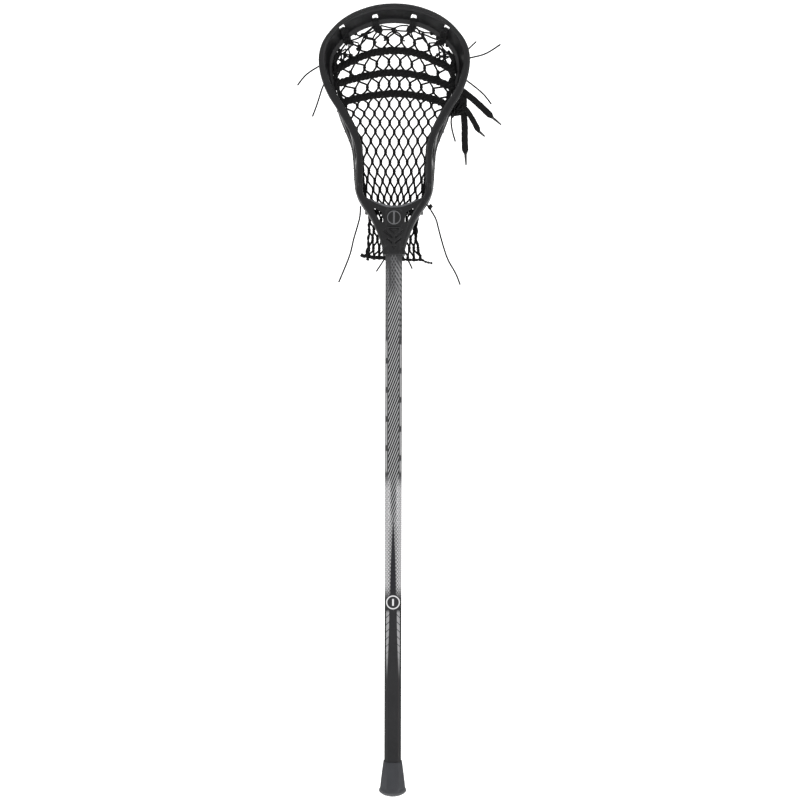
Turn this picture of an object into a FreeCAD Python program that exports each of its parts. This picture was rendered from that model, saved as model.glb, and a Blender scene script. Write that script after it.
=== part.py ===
import FreeCAD, Part
import math
import os

from FreeCAD import Vector as V
import Sketcher

# Lacrosse stick, millimetres.
# +Z runs up the shaft from the butt end to the scoop, +X is to the right when
# looking into the open face of the head, -Y is the open face, +Y is the side
# the pocket hangs to.  The origin is the centre of the butt end.

doc = FreeCAD.newDocument("lacrosse_stick")
sheet = doc.addObject("Spreadsheet::Sheet", "Dims")
sheet.Label = "Dims"

DIMS = [
    # shaft: elongated octagonal aluminium tube
    ("shaft_width", 22.0), ("shaft_depth", 25.4), ("shaft_corner", 4.2),
    ("shaft_wall", 1.4), ("shaft_bottom", 6.5), ("shaft_top", 756.0),
    # butt cap: moulded rubber
    ("cap_height", 46.0), ("cap_bottom", 5.6), ("cap_flange_radius", 18.0),
    ("cap_foot_radius", 6.0), ("fit_gap", 0.2),
    # head: one moulded nylon piece
    ("throat_bottom", 708.0), ("throat_half_width", 14.3), ("throat_half_depth", 16.4),
    ("web_thick", 2.6), ("string_hole", 3.6), ("top_hole", 7.4),
    ("bore_top", 760.0), ("plate_front", 15.6), ("plate_thick", 3.2),
    ("back_plate_front", 12.9), ("stop_wall", 3.0),
    # head screw
    ("screw_height", 736.0), ("screw_shank", 3.9), ("screw_hole", 4.3),
    ("screw_head_radius", 4.2), ("screw_head_thick", 2.6), ("screw_length", 12.0),
    # badge and ball stop pad
    ("badge_height", 756.6), ("badge_radius", 9.1), ("badge_ring", 1.3), ("badge_thick", 0.8),
    ("pad_thick", 3.0), ("pad_depth", 40.0),
    # stringing
    ("mesh_thick", 1.6), ("string_dia", 2.4), ("thin_string", 2.2),
    ("lace_width", 8.8), ("lace_thick", 2.2), ("lace_round", 5.6),
]
for row, (alias, value) in enumerate(DIMS, start=1):
    sheet.set("A%d" % row, alias)
    sheet.set("B%d" % row, repr(value))
    sheet.setAlias("B%d" % row, alias)
doc.recompute()


def dim(alias):
    return float(getattr(sheet, alias))


nodes = []


def keep(obj, label):
    """Register an object as a sub-part; its label names its file."""
    obj.Label = label
    nodes.append(obj)
    return obj


def feature(label, shape):
    obj = doc.addObject("Part::Feature", label)
    obj.Shape = shape
    obj.Placement = FreeCAD.Placement(V(0, 0, 0), FreeCAD.Rotation())
    return keep(obj, label)


def bind(obj, **expressions):
    for prop, text in expressions.items():
        obj.setExpression(prop.replace("__", "."), text)
    return obj


def interp(table, x):
    """Smooth (monotone cubic) interpolation of a table of (x, value) pairs."""
    pts = table
    if x <= pts[0][0]:
        return pts[0][1]
    if x >= pts[-1][0]:
        return pts[-1][1]
    n = len(pts)
    d = [(pts[i + 1][1] - pts[i][1]) / (pts[i + 1][0] - pts[i][0]) for i in range(n - 1)]
    m = [d[0]] + [0.0 if d[i - 1] * d[i] <= 0 else 2 * d[i - 1] * d[i] / (d[i - 1] + d[i])
                  for i in range(1, n - 1)] + [d[-1]]
    for i in range(n - 1):
        if x <= pts[i + 1][0]:
            w = pts[i + 1][0] - pts[i][0]
            u = (x - pts[i][0]) / w
            return ((2 * u ** 3 - 3 * u ** 2 + 1) * pts[i][1]
                    + (u ** 3 - 2 * u ** 2 + u) * w * m[i]
                    + (-2 * u ** 3 + 3 * u ** 2) * pts[i + 1][1]
                    + (u ** 3 - u ** 2) * w * m[i + 1])
    return pts[-1][1]


def arc_path(points, radius=None, closed=False):
    """Straight runs joined by tangent arcs.  With no radius given, each arc is
    as large as its two runs allow: 0.45 of the shorter run over tan(half turn)."""
    pts = [V(*p) for p in points]
    n = len(pts)
    corners = range(n) if closed else range(1, n - 1)
    cut, radii = {}, []
    for i in corners:
        a, b, c = pts[i - 1], pts[i], pts[(i + 1) % n]
        u, w = (b - a).normalize(), (c - b).normalize()
        turn = math.acos(max(-1.0, min(1.0, u.dot(w))))
        if turn < 1e-3:
            raise ValueError("three points in line at %d" % i)
        run = min((b - a).Length, (c - b).Length)
        if radius is None:
            r = 0.45 * run / math.tan(turn / 2)
        else:
            r = min(radius, 0.45 * run / math.tan(turn / 2))
        radii.append(r)
        t = r * math.tan(turn / 2)
        p, q = b - u * t, b + w * t
        bis = (w - u).normalize()
        centre = b + bis * (r / math.cos(turn / 2))
        mid = centre - bis * r
        cut[i] = (p, mid, q)
    edges = []
    order = list(range(n))
    for k in order:
        if k in cut:
            p, mid, q = cut[k]
            edges.append(Part.Arc(p, mid, q).toShape())
        nxt = (k + 1) % n
        if not closed and k == n - 1:
            break
        start = cut[k][2] if k in cut else pts[k]
        end = cut[nxt][0] if nxt in cut else pts[nxt]
        if (end - start).Length > 1e-6:
            edges.append(Part.LineSegment(start, end).toShape())
    return Part.Wire(edges), radii


def tube(label, points, dia, register=True):
    """A cord's solid: a round tube along straight runs and tangent arcs."""
    wire, radii = arc_path(points)
    p0, p1 = V(*points[0]), V(*points[1])
    ring = Part.Wire([Part.Circle(p0, p1 - p0, dia / 2).toShape()])
    solid = wire.makePipeShell([ring], True, True)
    want = math.pi * dia * dia / 4 * wire.Length
    print("%-26s length %6.1f  radii %s  volume ratio %.3f"
          % (label, wire.Length, [round(r) for r in radii], solid.Volume / want))
    if register:
        return feature(label, solid)
    return solid


def ribbon(label, points, width, thick):
    """A flat lace lying in a plane that faces -Y."""
    wire, radii = arc_path(points)
    p0, p1 = V(*points[0]), V(*points[1])
    side = (p1 - p0).normalize().cross(V(0, 1, 0)).normalize() * (width / 2)
    up = V(0, thick / 2, 0)
    rim = Part.makePolygon([p0 + side + up, p0 - side + up, p0 - side - up, p0 + side - up, p0 + side + up])
    pipe = Part.BRepOffsetAPI.MakePipeShell(wire)
    pipe.setBiNormalMode(V(0, 1, 0))
    pipe.add(rim)
    pipe.build()
    pipe.makeSolid()
    solid = pipe.shape()
    if solid.Volume < 0:
        solid.reverse()
    print("%-26s length %6.1f  radii %s  volume ratio %.3f"
          % (label, wire.Length, [round(r) for r in radii], solid.Volume / (width * thick * wire.Length)))
    return feature(label, solid)


def octagon(w, d, c, z):
    """Corner points of an elongated octagon w by d with corners cut by c."""
    a, b = w / 2, d / 2
    return [V(a - c, -b, z), V(a, -b + c, z), V(a, b - c, z), V(a - c, b, z),
            V(-a + c, b, z), V(-a, b - c, z), V(-a, -b + c, z), V(-a + c, -b, z)]


def closed_wire(pts):
    return Part.makePolygon(list(pts) + [pts[0]])


# ---------------------------------------------------------------- shaft
def octagon_sketch(body, name, level, shrink):
    """An elongated octagon on the XY plane, bound to the shaft's sizes."""
    sk = body.newObject("Sketcher::SketchObject", name)
    plane = [f for f in body.Origin.OriginFeatures if f.Role == "XY_Plane"][0]
    sk.AttachmentSupport = [(plane, "")]
    sk.MapMode = "FlatFace"
    sk.setExpression("AttachmentOffset.Base.z", level)
    w, d, c = dim("shaft_width") / 2 - shrink * dim("shaft_wall"), dim("shaft_depth") / 2 - shrink * dim("shaft_wall"), \
        dim("shaft_corner") - shrink * 0.6 * dim("shaft_wall")
    pts = [(w - c, -d), (w, -d + c), (w, d - c), (w - c, d), (-w + c, d), (-w, d - c), (-w, -d + c), (-w + c, -d)]
    ew = "(Dims.shaft_width / 2 - %s * Dims.shaft_wall)" % shrink
    ed = "(Dims.shaft_depth / 2 - %s * Dims.shaft_wall)" % shrink
    ec = "(Dims.shaft_corner - %s * 0.6 * Dims.shaft_wall)" % shrink
    exps = [("%s - %s" % (ew, ec), "-" + ed), (ew, "-%s + %s" % (ed, ec)), (ew, "%s - %s" % (ed, ec)),
            ("%s - %s" % (ew, ec), ed), ("-%s + %s" % (ew, ec), ed), ("-" + ew, "%s - %s" % (ed, ec)),
            ("-" + ew, "-%s + %s" % (ed, ec)), ("-%s + %s" % (ew, ec), "-" + ed)]
    for k in range(8):
        q = pts[(k + 1) % 8]
        sk.addGeometry(Part.LineSegment(V(pts[k][0], pts[k][1], 0), V(q[0], q[1], 0)), False)
    for k in range(8):
        sk.addConstraint(Sketcher.Constraint("Coincident", k, 2, (k + 1) % 8, 1))
    for k in range(8):
        cx = sk.addConstraint(Sketcher.Constraint("DistanceX", -1, 1, k, 1, pts[k][0]))
        sk.setExpression("Constraints[%d]" % cx, exps[k][0])
        cy = sk.addConstraint(Sketcher.Constraint("DistanceY", -1, 1, k, 1, pts[k][1]))
        sk.setExpression("Constraints[%d]" % cy, exps[k][1])
    return sk


shaft = doc.addObject("PartDesign::Body", "shaft_body")
outline = octagon_sketch(shaft, "shaft_outline", "Dims.shaft_bottom", 0)
bar = shaft.newObject("PartDesign::Pad", "shaft_bar")
bar.Profile = outline
bar.setExpression("Length", "Dims.shaft_top - Dims.shaft_bottom")
doc.recompute()
hollow = octagon_sketch(shaft, "shaft_hollow", "Dims.shaft_bottom", 1)
core = shaft.newObject("PartDesign::Pocket", "shaft_core")
core.Profile = hollow
core.Type = 1
core.Reversed = True
doc.recompute()
if core.Shape.Volume > bar.Shape.Volume * 0.6:
    core.Reversed = False
    doc.recompute()
drill = shaft.newObject("PartDesign::SubtractiveCylinder", "shaft_screw_hole")
drill.Placement = FreeCAD.Placement(V(0, 0, 0), FreeCAD.Rotation(V(1, 0, 0), -90))
bind(drill, Radius="Dims.screw_hole / 2", Height="Dims.shaft_depth",
     Placement__Base__z="Dims.screw_height")
shaft.Tip = drill
doc.recompute()
print("shaft", round(bar.Shape.Volume), round(core.Shape.Volume), round(drill.Shape.Volume))
keep(shaft, "shaft")

# ---------------------------------------------------------------- butt cap
# A soft sleeve that flares from the octagon of the shaft to a round flange,
# with a shallow domed foot that ends in a small flat.
cap_steps = [(dim("cap_height"), 24.4, 28.2, 4.8), (33.0, 28.0, 31.0, 6.4),
             (20.0, 31.2, 33.4, 8.2), (9.6, 33.4, 34.8, 9.6)]
outer = Part.makeLoft([closed_wire(octagon(w, d, c, z)) for z, w, d, c in cap_steps], True, False)
rf = dim("cap_flange_radius")
foot = dim("cap_foot_radius")
profile = [V(0, 0, 0), V(foot, 0, 0), V(11.2, 0, 1.5), V(14.6, 0, 3.3), V(rf - 0.5, 0, 5.9),
           V(rf, 0, 6.8), V(rf, 0, 9.6), V(rf - 0.7, 0, 10.6), V(rf - 2.2, 0, 11.2), V(0, 0, 11.2)]
flange = Part.Face(closed_wire(profile)).revolve(V(0, 0, 0), V(0, 0, 1), 360)
gap = dim("fit_gap")
socket = Part.Face(closed_wire(octagon(dim("shaft_width") + 2 * gap, dim("shaft_depth") + 2 * gap,
                                       dim("shaft_corner"), dim("cap_bottom")))).extrude(V(0, 0, 60))
cap = outer.fuse(flange).removeSplitter().cut(socket)
# three shallow grip rings pressed into the sleeve
feature("butt_cap", cap)

# ---------------------------------------------------------------- head
# Stations along the left/right mirrored sweep of the head, scoop to throat:
# x, z of the outer edge of the front rail; y of front and back rails;
# front rail width; sideways offset of the back rail; back rail width.
STATIONS = [
    (0.0, 1036.6, -14.0, 26.0, 4.0, -15.0, 5.5),
    (23.5, 1034.6, -13.8, 26.0, 4.0, -15.0, 5.5),
    (44.3, 1028.7, -13.2, 27.0, 4.2, -15.0, 5.5),
    (60.9, 1021.0, -12.3, 28.5, 4.5, -15.0, 5.5),
    (74.1, 1011.6, -11.2, 30.5, 5.0, -14.7, 5.5),
    (84.9, 1000.3, -10.0, 33.0, 5.8, -14.0, 5.8),
    (93.0, 989.0, -8.8, 35.5, 7.0, -13.3, 6.0),
    (97.7, 976.8, -7.6, 37.5, 8.0, -12.6, 6.0),
    (99.3, 964.5, -6.5, 39.0, 8.8, -11.8, 6.0),
    (98.3, 951.6, -5.5, 40.0, 9.0, -10.8, 6.2),
    (95.5, 939.3, -4.6, 41.0, 9.2, -9.5, 6.5),
    (91.1, 927.0, -3.8, 41.7, 9.6, -7.6, 6.8),
    (85.0, 914.6, -3.2, 42.0, 10.4, -4.6, 7.0),
    (77.0, 902.3, -2.8, 42.0, 10.8, -1.2, 7.5),
    (69.5, 889.9, -2.6, 41.6, 11.0, 2.0, 8.6),
    (62.3, 877.4, -2.8, 41.0, 10.8, 4.0, 9.2),
    (56.0, 864.9, -3.4, 40.2, 9.8, 4.9, 9.8),
    (51.6, 852.3, -4.6, 39.3, 8.8, 5.1, 10.1),
    (49.9, 839.0, -6.4, 38.3, 8.2, 4.9, 10.1),
    (49.5, 825.7, -8.8, 37.2, 8.2, 4.4, 9.8),
    (49.5, 812.4, -11.5, 36.0, 8.4, 3.6, 9.1),
    (49.6, 799.1, -14.0, 34.5, 8.6, 2.4, 8.2),
    (49.2, 789.8, -15.4, 32.8, 8.6, 0.8, 7.0),
    (45.6, 780.0, -16.2, 30.4, 8.6, 0.3, 6.5),
    (38.0, 767.7, -16.6, 27.0, 8.6, 0.0, 6.2),
    (29.6, 754.6, -16.6, 23.5, 8.2, 0.0, 6.0),
    (23.3, 741.5, -16.6, 20.0, 7.6, 0.0, 5.6),
    (18.3, 728.4, -16.6, 17.8, 7.0, 0.0, 5.2),
    (15.2, 718.0, -16.6, 16.6, 6.4, 0.0, 5.0),
]


def normal_at(path, i):
    a, b = path[max(i - 1, 0)], path[min(i + 1, len(path) - 1)]
    dx, dz = b[0] - a[0], b[1] - a[1]
    length = math.hypot(dx, dz)
    return -dz / length, dx / length


coarse = [(-s[0],) + s[1:] for s in reversed(STATIONS[1:])] + list(STATIONS)
STEPS = 2


def blend_stations(a, b, c, d, t):
    """A point between b and c on a Catmull-Rom curve."""
    return tuple(0.5 * (2 * q + (r - p) * t + (2 * p - 5 * q + 4 * r - e) * t * t
                        + (3 * q - p - 3 * r + e) * t ** 3) for p, q, r, e in zip(a, b, c, d))


full = []
for i_ in range(len(coarse) - 1):
    a_, b_, c_ = coarse[max(i_ - 1, 0)], coarse[i_], coarse[i_ + 1]
    d_ = coarse[min(i_ + 2, len(coarse) - 1)]
    for j_ in range(STEPS):
        full.append(blend_stations(a_, b_, c_, d_, j_ / float(STEPS)))
full.append(coarse[-1])
CENTRE = (len(STATIONS) - 1) * STEPS
path_xz = [(s[0], s[1]) for s in full]


def section(i):
    x, z, yf, yb, wf, off, wb = full[i]
    nx, nz = normal_at(path_xz, i)
    if i == CENTRE:
        nx, nz = 0.0, 1.0
    tw = dim("web_thick")

    def web(y):
        return off * (y - yf) / (yb - yf) - 1.2

    y1, y2 = yf + 7.0, yb - 9.5
    pts = [(0.0, yf + 1.7), (-1.3, yf + 0.2), (-2.6, yf), (-wf + 1.5, yf + 0.35), (-wf + 0.2, yf + 1.3), (-wf, yf + 2.6),
           (-wf + 1.0, yf + 4.6), (web(y1) - tw - 0.8, y1), (web(y2) - tw, y2), (off - wb, yb - 6.5),
           (off - wb, yb - 1.6), (off - wb + 1.4, yb), (off - 1.6, yb), (off, yb - 1.8), (off, yb - 6.5),
           (web(y2), y2), (web(y1), y1), (0.0, yf + 4.8)]
    return closed_wire([V(x + nx * n, y, z + nz * n) for n, y in pts])


frame = Part.makeLoft([section(i) for i in range(len(full))], True, True)
print("sweep valid", frame.isValid(), round(frame.Volume))

# throat outline and the U of the ball stop, right half, top to bottom
THROAT = [(47.0, 800.0), (46.4, 791.0), (43.2, 781.0), (36.4, 769.6), (28.4, 756.6), (22.4, 744.0),
          (17.6, 731.0), (14.3, 717.0), (14.3, 708.0)]
STOP_U = [(43.4, 801.5), (42.8, 793.0), (40.4, 787.2), (37.1, 783.3), (31.9, 779.4), (24.1, 775.2),
          (15.0, 771.4), (7.5, 769.5), (0.0, 768.9)]


def plate(outline, y0, thick):
    pts = [V(x, y0, z) for x, z in outline]
    return Part.Face(closed_wire(pts)).extrude(V(0, thick, 0))


def mirrored(right):
    """Closed outline from a right-hand half listed from one end to the other."""
    left = [(-x, z) for x, z in reversed(right)]
    return right + [p for p in left if abs(p[0]) > 1e-6 or p not in right]


u_curve = [V(x, 0, z) for x, z in STOP_U] + [V(-x, 0, z) for x, z in reversed(STOP_U[:-1])]
u_spline = Part.BSplineCurve()
u_spline.interpolate(u_curve)


def u_edge(y, drop=0.0):
    c = u_spline.copy()
    c.translate(V(0, y, -drop))
    return c.toShape()


def throat_plate(y0, thick, trim=0.0, low=708.0):
    side = [(x - trim, z) for x, z in THROAT if z >= low]
    e_top = u_edge(y0)
    a, b = e_top.Vertexes[0].Point, e_top.Vertexes[-1].Point
    right = [V(x, y0, z) for x, z in side]
    left = [V(-x, y0, z) for x, z in reversed(side)]
    outline = [a] + right + left + [b]
    wire = Part.Wire([e_top] + Part.makePolygon(outline).Edges)
    return Part.Face(wire).extrude(V(0, thick, 0))


front_plate = throat_plate(-dim("plate_front"), dim("plate_thick"))
back_plate = throat_plate(dim("back_plate_front"), dim("throat_half_depth") - dim("back_plate_front"), 1.0)
# curved wall behind the lip of the U that the ball stop pad is stuck to
wall_y0, wall_y1 = -dim("plate_front"), 27.0
wall_top, wall_low = [], []
for k in range(41):
    q = u_spline.FirstParameter + (u_spline.LastParameter - u_spline.FirstParameter) * k / 40.0
    p_, t_ = u_spline.value(q), u_spline.tangent(q)[0]
    side_ = V(-t_.z, 0, t_.x)
    wall_top.append(V(p_.x, wall_y0, p_.z))
    wall_low.append(V(p_.x, wall_y0, p_.z) + side_ * dim("stop_wall"))
wall = Part.Face(closed_wire(wall_top + list(reversed(wall_low)))).extrude(V(0, wall_y1 - wall_y0, 0))
print("wall valid", wall.isValid(), round(wall.Volume))
tw2, td2 = dim("throat_half_width"), dim("throat_half_depth")
collar = Part.Face(closed_wire(octagon(2 * tw2, 2 * td2, 6.6, dim("throat_bottom")))).extrude(V(0, 0, 61))
bead = Part.Face(closed_wire(octagon(2 * tw2 + 1.2, 2 * td2 + 0.8, 6.8, dim("throat_bottom")))).extrude(V(0, 0, 4.5))
head = frame
for piece in (collar, front_plate, back_plate, wall, bead):
    head = head.fuse(piece)
    print("  ", head.isValid(), len(head.Solids), round(head.Volume))
print("fused valid", head.isValid(), len(head.Solids))

bore = Part.Face(closed_wire(octagon(dim("shaft_width") + 2 * gap, dim("shaft_depth") + 2 * gap,
                                     dim("shaft_corner"), dim("throat_bottom") - 5))).extrude(
    V(0, 0, dim("bore_top") - dim("throat_bottom") + 5))
cuts = [bore]


def flat_cut(points, y0, y1, radius=1.0):
    """A prism along Y through a rounded outline in the XZ plane."""
    wire, _ = arc_path([(x, y0, z) for x, z in points], radius, True)
    return Part.Face(wire).extrude(V(0, y1 - y0, 0))


def both(points):
    return [points, [(-x, z) for x, z in points]]


# slanted openings beside the badge, running through the front plate
for outline in both([(28.6, 770.6), (16.2, 764.0), (13.6, 750.4), (17.6, 750.6)]):
    cuts.append(flat_cut(outline, -20, -8, 1.4))
# badge panel, and the chevron recesses pressed into the front below it
cuts.append(flat_cut([(-10.6, 766.2), (10.6, 766.2), (10.6, 744.6), (-10.6, 744.6)], -20, -14.9, 1.2))
cuts.append(flat_cut([(-8.6, 742.6), (8.6, 742.6), (0.0, 735.4)], -20, -14.0, 0.7))
for outline in both([(12.2, 741.2), (13.8, 738.4), (2.2, 729.0), (1.4, 731.8)]):
    cuts.append(flat_cut(outline, -20, -14.0, 0.6))
for outline in both([(11.4, 731.6), (10.0, 728.6), (2.0, 721.8), (1.6, 724.4)]):
    cuts.append(flat_cut(outline, -20, -14.2, 0.6))
cuts.append(flat_cut([(-3.2, 719.6), (3.2, 719.6), (0.0, 714.4)], -20, -14.6, 0.5))
# openings through the back plate on either side of the screw
for outline in both([(24.0, 765.0), (9.0, 762.4), (7.5, 748.0), (13.5, 744.5)]):
    cuts.append(flat_cut(outline, 12, 30, 1.5))


def side_cut(points, radius):
    """A prism along X through both sidewalls, outline in the YZ plane."""
    wire, _ = arc_path([(-130, y, z) for y, z in points], radius, True)
    return Part.Face(wire).extrude(V(260, 0, 0))


# sidewall windows between slanted struts
WINDOWS = [
    [(-1.0, 806.0), (24.0, 800.0), (25.0, 822.0), (0.5, 834.0)],
    [(2.6, 840.5), (25.6, 829.0), (27.0, 848.0), (4.6, 866.0)],
    [(5.6, 873.5), (28.0, 856.0), (29.6, 876.0), (6.6, 901.0)],
    [(7.4, 909.5), (30.0, 885.0), (30.6, 905.0), (8.0, 934.0)],
    [(8.4, 943.0), (30.8, 914.5), (30.2, 936.0), (12.0, 958.0)],
]
for outline in WINDOWS:
    cuts.append(side_cut(outline, 3.2))
# side openings of the throat
cuts.append(side_cut([(-9.0, 786.0), (20.0, 790.0), (16.0, 764.0), (-6.0, 764.0)], 3.0))


def drill_at(i, n, y, dia, length=16.0, tilt=0.0):
    """A hole across the wall at a station: n from the outer edge, at depth y."""
    x, z = path_xz[i]
    nx, nz = normal_at(path_xz, i)
    if i == CENTRE:
        nx, nz = 0.0, 1.0
    axis = V(nx * math.cos(tilt), math.sin(tilt), nz * math.cos(tilt))
    at = V(x + nx * n, y, z + nz * n)
    return Part.makeCylinder(dia / 2, length, at - axis * (length / 2), axis)


mid = CENTRE
HOLE_STATIONS = [5, 7, 9, 10, 11, 12, 13, 14, 15, 16, 17, 18, 19, 20, 21, 22]
for k in HOLE_STATIONS:
    for sgn in (-1, 1):
        x, z, yf, yb, wf, off, wb = STATIONS[k]
        cuts.append(drill_at(mid + sgn * k * STEPS, off - wb / 2, yb - 4.6, dim("string_hole")))
# four large top string holes in the scoop
for xh, zh, y0h in ((25.3, 1022.0, 2.0), (68.6, 1007.0, -5.0)):
    for sgn in (-1, 1):
        cuts.append(Part.makeCylinder(dim("top_hole") / 2, 40, V(sgn * xh, y0h, zh), V(0, 1, 0)))
# screw hole in the back of the throat
cuts.append(Part.makeCylinder(dim("screw_hole") / 2, 12, V(0, 10, dim("screw_height")), V(0, 1, 0)))
head = head.cut(Part.makeCompound(cuts))
solids = sorted(head.Solids, key=lambda s: -s.Volume)
print("head solids", [round(s.Volume, 1) for s in solids][:6])
head = solids[0]
feature("head_frame", head)

# ---------------------------------------------------------------- ball stop pad
# foam strip stuck to the curved wall; it stands up a little towards the back
pad_path = u_spline.copy()
u0, u1 = pad_path.FirstParameter, pad_path.LastParameter
low_pts, high_pts = [], []
N = 24
for k in range(N + 1):
    q = u0 + (u1 - u0) * (0.17 + 0.66 * k / N)
    p = pad_path.value(q)
    rise = 0.25
    crown = dim("pad_thick") * (1 - abs(2.0 * k / N - 1) ** 2.6)
    low_pts.append(V(p.x, -14.2, p.z + rise))
    high_pts.append(V(p.x, -14.2, p.z + rise + 0.35 + crown))
c_low, c_high = Part.BSplineCurve(), Part.BSplineCurve()
c_low.interpolate(low_pts)
c_high.interpolate(high_pts)
e_low, e_high = c_low.toShape(), c_high.toShape()
pad_face = Part.Face(Part.Wire([e_low, Part.LineSegment(low_pts[-1], high_pts[-1]).toShape(), e_high,
                                Part.LineSegment(high_pts[0], low_pts[0]).toShape()]))
pad = pad_face.extrude(V(0, dim("pad_depth"), 0))
feature("ball_stop_pad", pad)

# ---------------------------------------------------------------- throat badge
ring_out = doc.addObject("Part::Cylinder", "badge_outer")
ring_in = doc.addObject("Part::Cylinder", "badge_inner")
for cyl, rad in ((ring_out, "Dims.badge_radius"), (ring_in, "Dims.badge_radius - Dims.badge_ring")):
    cyl.Placement = FreeCAD.Placement(V(0, 0, 0), FreeCAD.Rotation(V(1, 0, 0), -90))
    bind(cyl, Radius=rad, Height="Dims.badge_thick", Placement__Base__y="-15.9",
         Placement__Base__z="Dims.badge_height")
ring = doc.addObject("Part::Cut", "badge_ring_cut")
ring.Base, ring.Tool = ring_out, ring_in
doc.recompute()
bar_box = doc.addObject("Part::Box", "badge_bar")
bind(bar_box, Length="2.4", Width="Dims.badge_thick", Height="2 * Dims.badge_radius - 0.6",
     Placement__Base__x="-1.2", Placement__Base__y="-15.9",
     Placement__Base__z="Dims.badge_height - Dims.badge_radius + 0.3")
badge = doc.addObject("Part::Fuse", "badge_fuse")
badge.Base, badge.Tool = ring, bar_box
keep(badge, "throat_badge")

# ---------------------------------------------------------------- head screw
shank = doc.addObject("Part::Cylinder", "screw_shank_cyl")
shank.Placement = FreeCAD.Placement(V(0, 0, 0), FreeCAD.Rotation(V(1, 0, 0), 90))
bind(shank, Radius="Dims.screw_shank / 2", Height="Dims.screw_length",
     Placement__Base__y="Dims.throat_half_depth + 0.6", Placement__Base__z="Dims.screw_height")
pan = doc.addObject("Part::Cylinder", "screw_head_cyl")
pan.Placement = FreeCAD.Placement(V(0, 0, 0), FreeCAD.Rotation(V(1, 0, 0), -90))
bind(pan, Radius="Dims.screw_head_radius", Height="Dims.screw_head_thick",
     Placement__Base__y="Dims.throat_half_depth + 0.3", Placement__Base__z="Dims.screw_height")
screw_fuse = doc.addObject("Part::Fuse", "screw_fuse")
screw_fuse.Base, screw_fuse.Tool = shank, pan
slots = []
for nm, lx, lz in (("screw_slot_a", 5.2, 1.1), ("screw_slot_b", 1.1, 5.2)):
    b = doc.addObject("Part::Box", nm)
    bind(b, Length=str(lx), Width="3", Height=str(lz), Placement__Base__x=str(-lx / 2),
         Placement__Base__y="Dims.throat_half_depth + Dims.screw_head_thick - 1.2",
         Placement__Base__z="Dims.screw_height - %s" % (lz / 2))
    slots.append(b)
cross = doc.addObject("Part::Fuse", "screw_cross")
cross.Base, cross.Tool = slots
screw = doc.addObject("Part::Cut", "screw_cut")
screw.Base, screw.Tool = screw_fuse, cross
keep(screw, "head_screw")

# ---------------------------------------------------------------- pocket
# Half-width of the mesh between the back rails, and the depth it hangs to.
MESH_HALF = [(776, 31.0), (785, 34.5), (799, 37.2), (812, 37.6), (826, 37.4), (839, 37.6), (852, 38.8), (865, 43.0),
             (877, 48.6), (890, 55.0), (902, 61.2), (914, 67.0), (927, 72.0), (939, 75.0), (952, 76.4),
             (966, 76.6), (985, 75.5), (1008, 73.0)]
EDGE_Y = [(776, 37.0), (800, 35.4), (826, 34.0), (850, 35.2), (880, 37.0), (915, 37.8), (940, 37.2), (965, 35.2),
          (985, 31.5), (1008, 25.5)]
BULGE = [(776, 3.0), (795, 9.0), (820, 19.0), (850, 27.5), (880, 29.5), (910, 25.0), (945, 16.0), (980, 7.5),
         (1008, 1.5)]
TOP_Z = [(0.0, 1006.5), (0.35, 1005.0), (0.5, 1000.5), (0.68, 991.0), (0.8, 980.5), (0.9, 968.5), (1.0, 954.0)]
MESH_LOW = 779.5


def pocket_y(x, z):
    w = interp(MESH_HALF, z)
    q = min(1.0, abs(x) / w)
    return interp(EDGE_Y, z) + interp(BULGE, z) * (1 - q ** 2.3)


def pocket_point(u, v):
    top = interp(TOP_Z, abs(u))
    z = MESH_LOW + v * (top - MESH_LOW)
    x = u * interp(MESH_HALF, z)
    return V(x, pocket_y(x, z), z)


def thin_shell(fn, nu, nv, thick):
    """A closed thin solid around a smooth surface fn(u, v)."""
    e = 1e-3
    front, back = [], []
    for i in range(nu + 1):
        u = -1 + 2.0 * i / nu
        rf_, rb_ = [], []
        for j in range(nv + 1):
            v = float(j) / nv
            p = fn(u, v)
            du = fn(min(1, u + e), v) - fn(max(-1, u - e), v)
            dv = fn(u, min(1, v + e)) - fn(u, max(0, v - e))
            nrm = dv.cross(du).normalize()
            if nrm.y < 0:
                nrm = nrm * -1
            rf_.append(p)
            rb_.append(p + nrm * thick)
        front.append(rf_)
        back.append(rb_)
    faces = []
    surf = []
    for grid in (front, back):
        s = Part.BSplineSurface()
        s.interpolate(grid)
        surf.append(s)
        faces.append(s.toShape())

    def iso(s, kind, val):
        return (s.uIso(val) if kind == "u" else s.vIso(val)).toShape()

    u0_, u1_, v0_, v1_ = surf[0].bounds()
    for kind, val in (("u", u0_), ("u", u1_), ("v", v0_), ("v", v1_)):
        faces.append(Part.makeRuledSurface(iso(surf[0], kind, val), iso(surf[1], kind, val)))
    shell = Part.makeCompound(faces)
    shell.sewShape(1e-3)
    shell = shell.Shells[0] if shell.Shells else Part.Shell(faces)
    solid = Part.Solid(shell)
    if solid.Volume < 0:
        solid.reverse()
    return solid


pocket = thin_shell(pocket_point, 24, 24, dim("mesh_thick"))
print("pocket valid", pocket.isValid(), round(pocket.Volume))
feature("mesh_pocket", pocket)

# the spare length of mesh that runs out behind the throat, and its two hems
TAIL_Y = [(703, 21.6), (715, 22.6), (735, 25.6), (745, 28.0), (760, 32.6), (773, 36.0)]
TAIL_HALF = [(703, 34.5), (715, 31.5), (735, 30.0), (760, 29.5), (773, 30.5)]


def tail_point(u, v):
    z = 711.6 + v * (772.4 - 711.6)
    x = u * interp(TAIL_HALF, z) + 1.2 * (1 - v)
    return V(x, interp(TAIL_Y, z) + 1.2 * math.cos(math.pi * u * 1.5), z)


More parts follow.
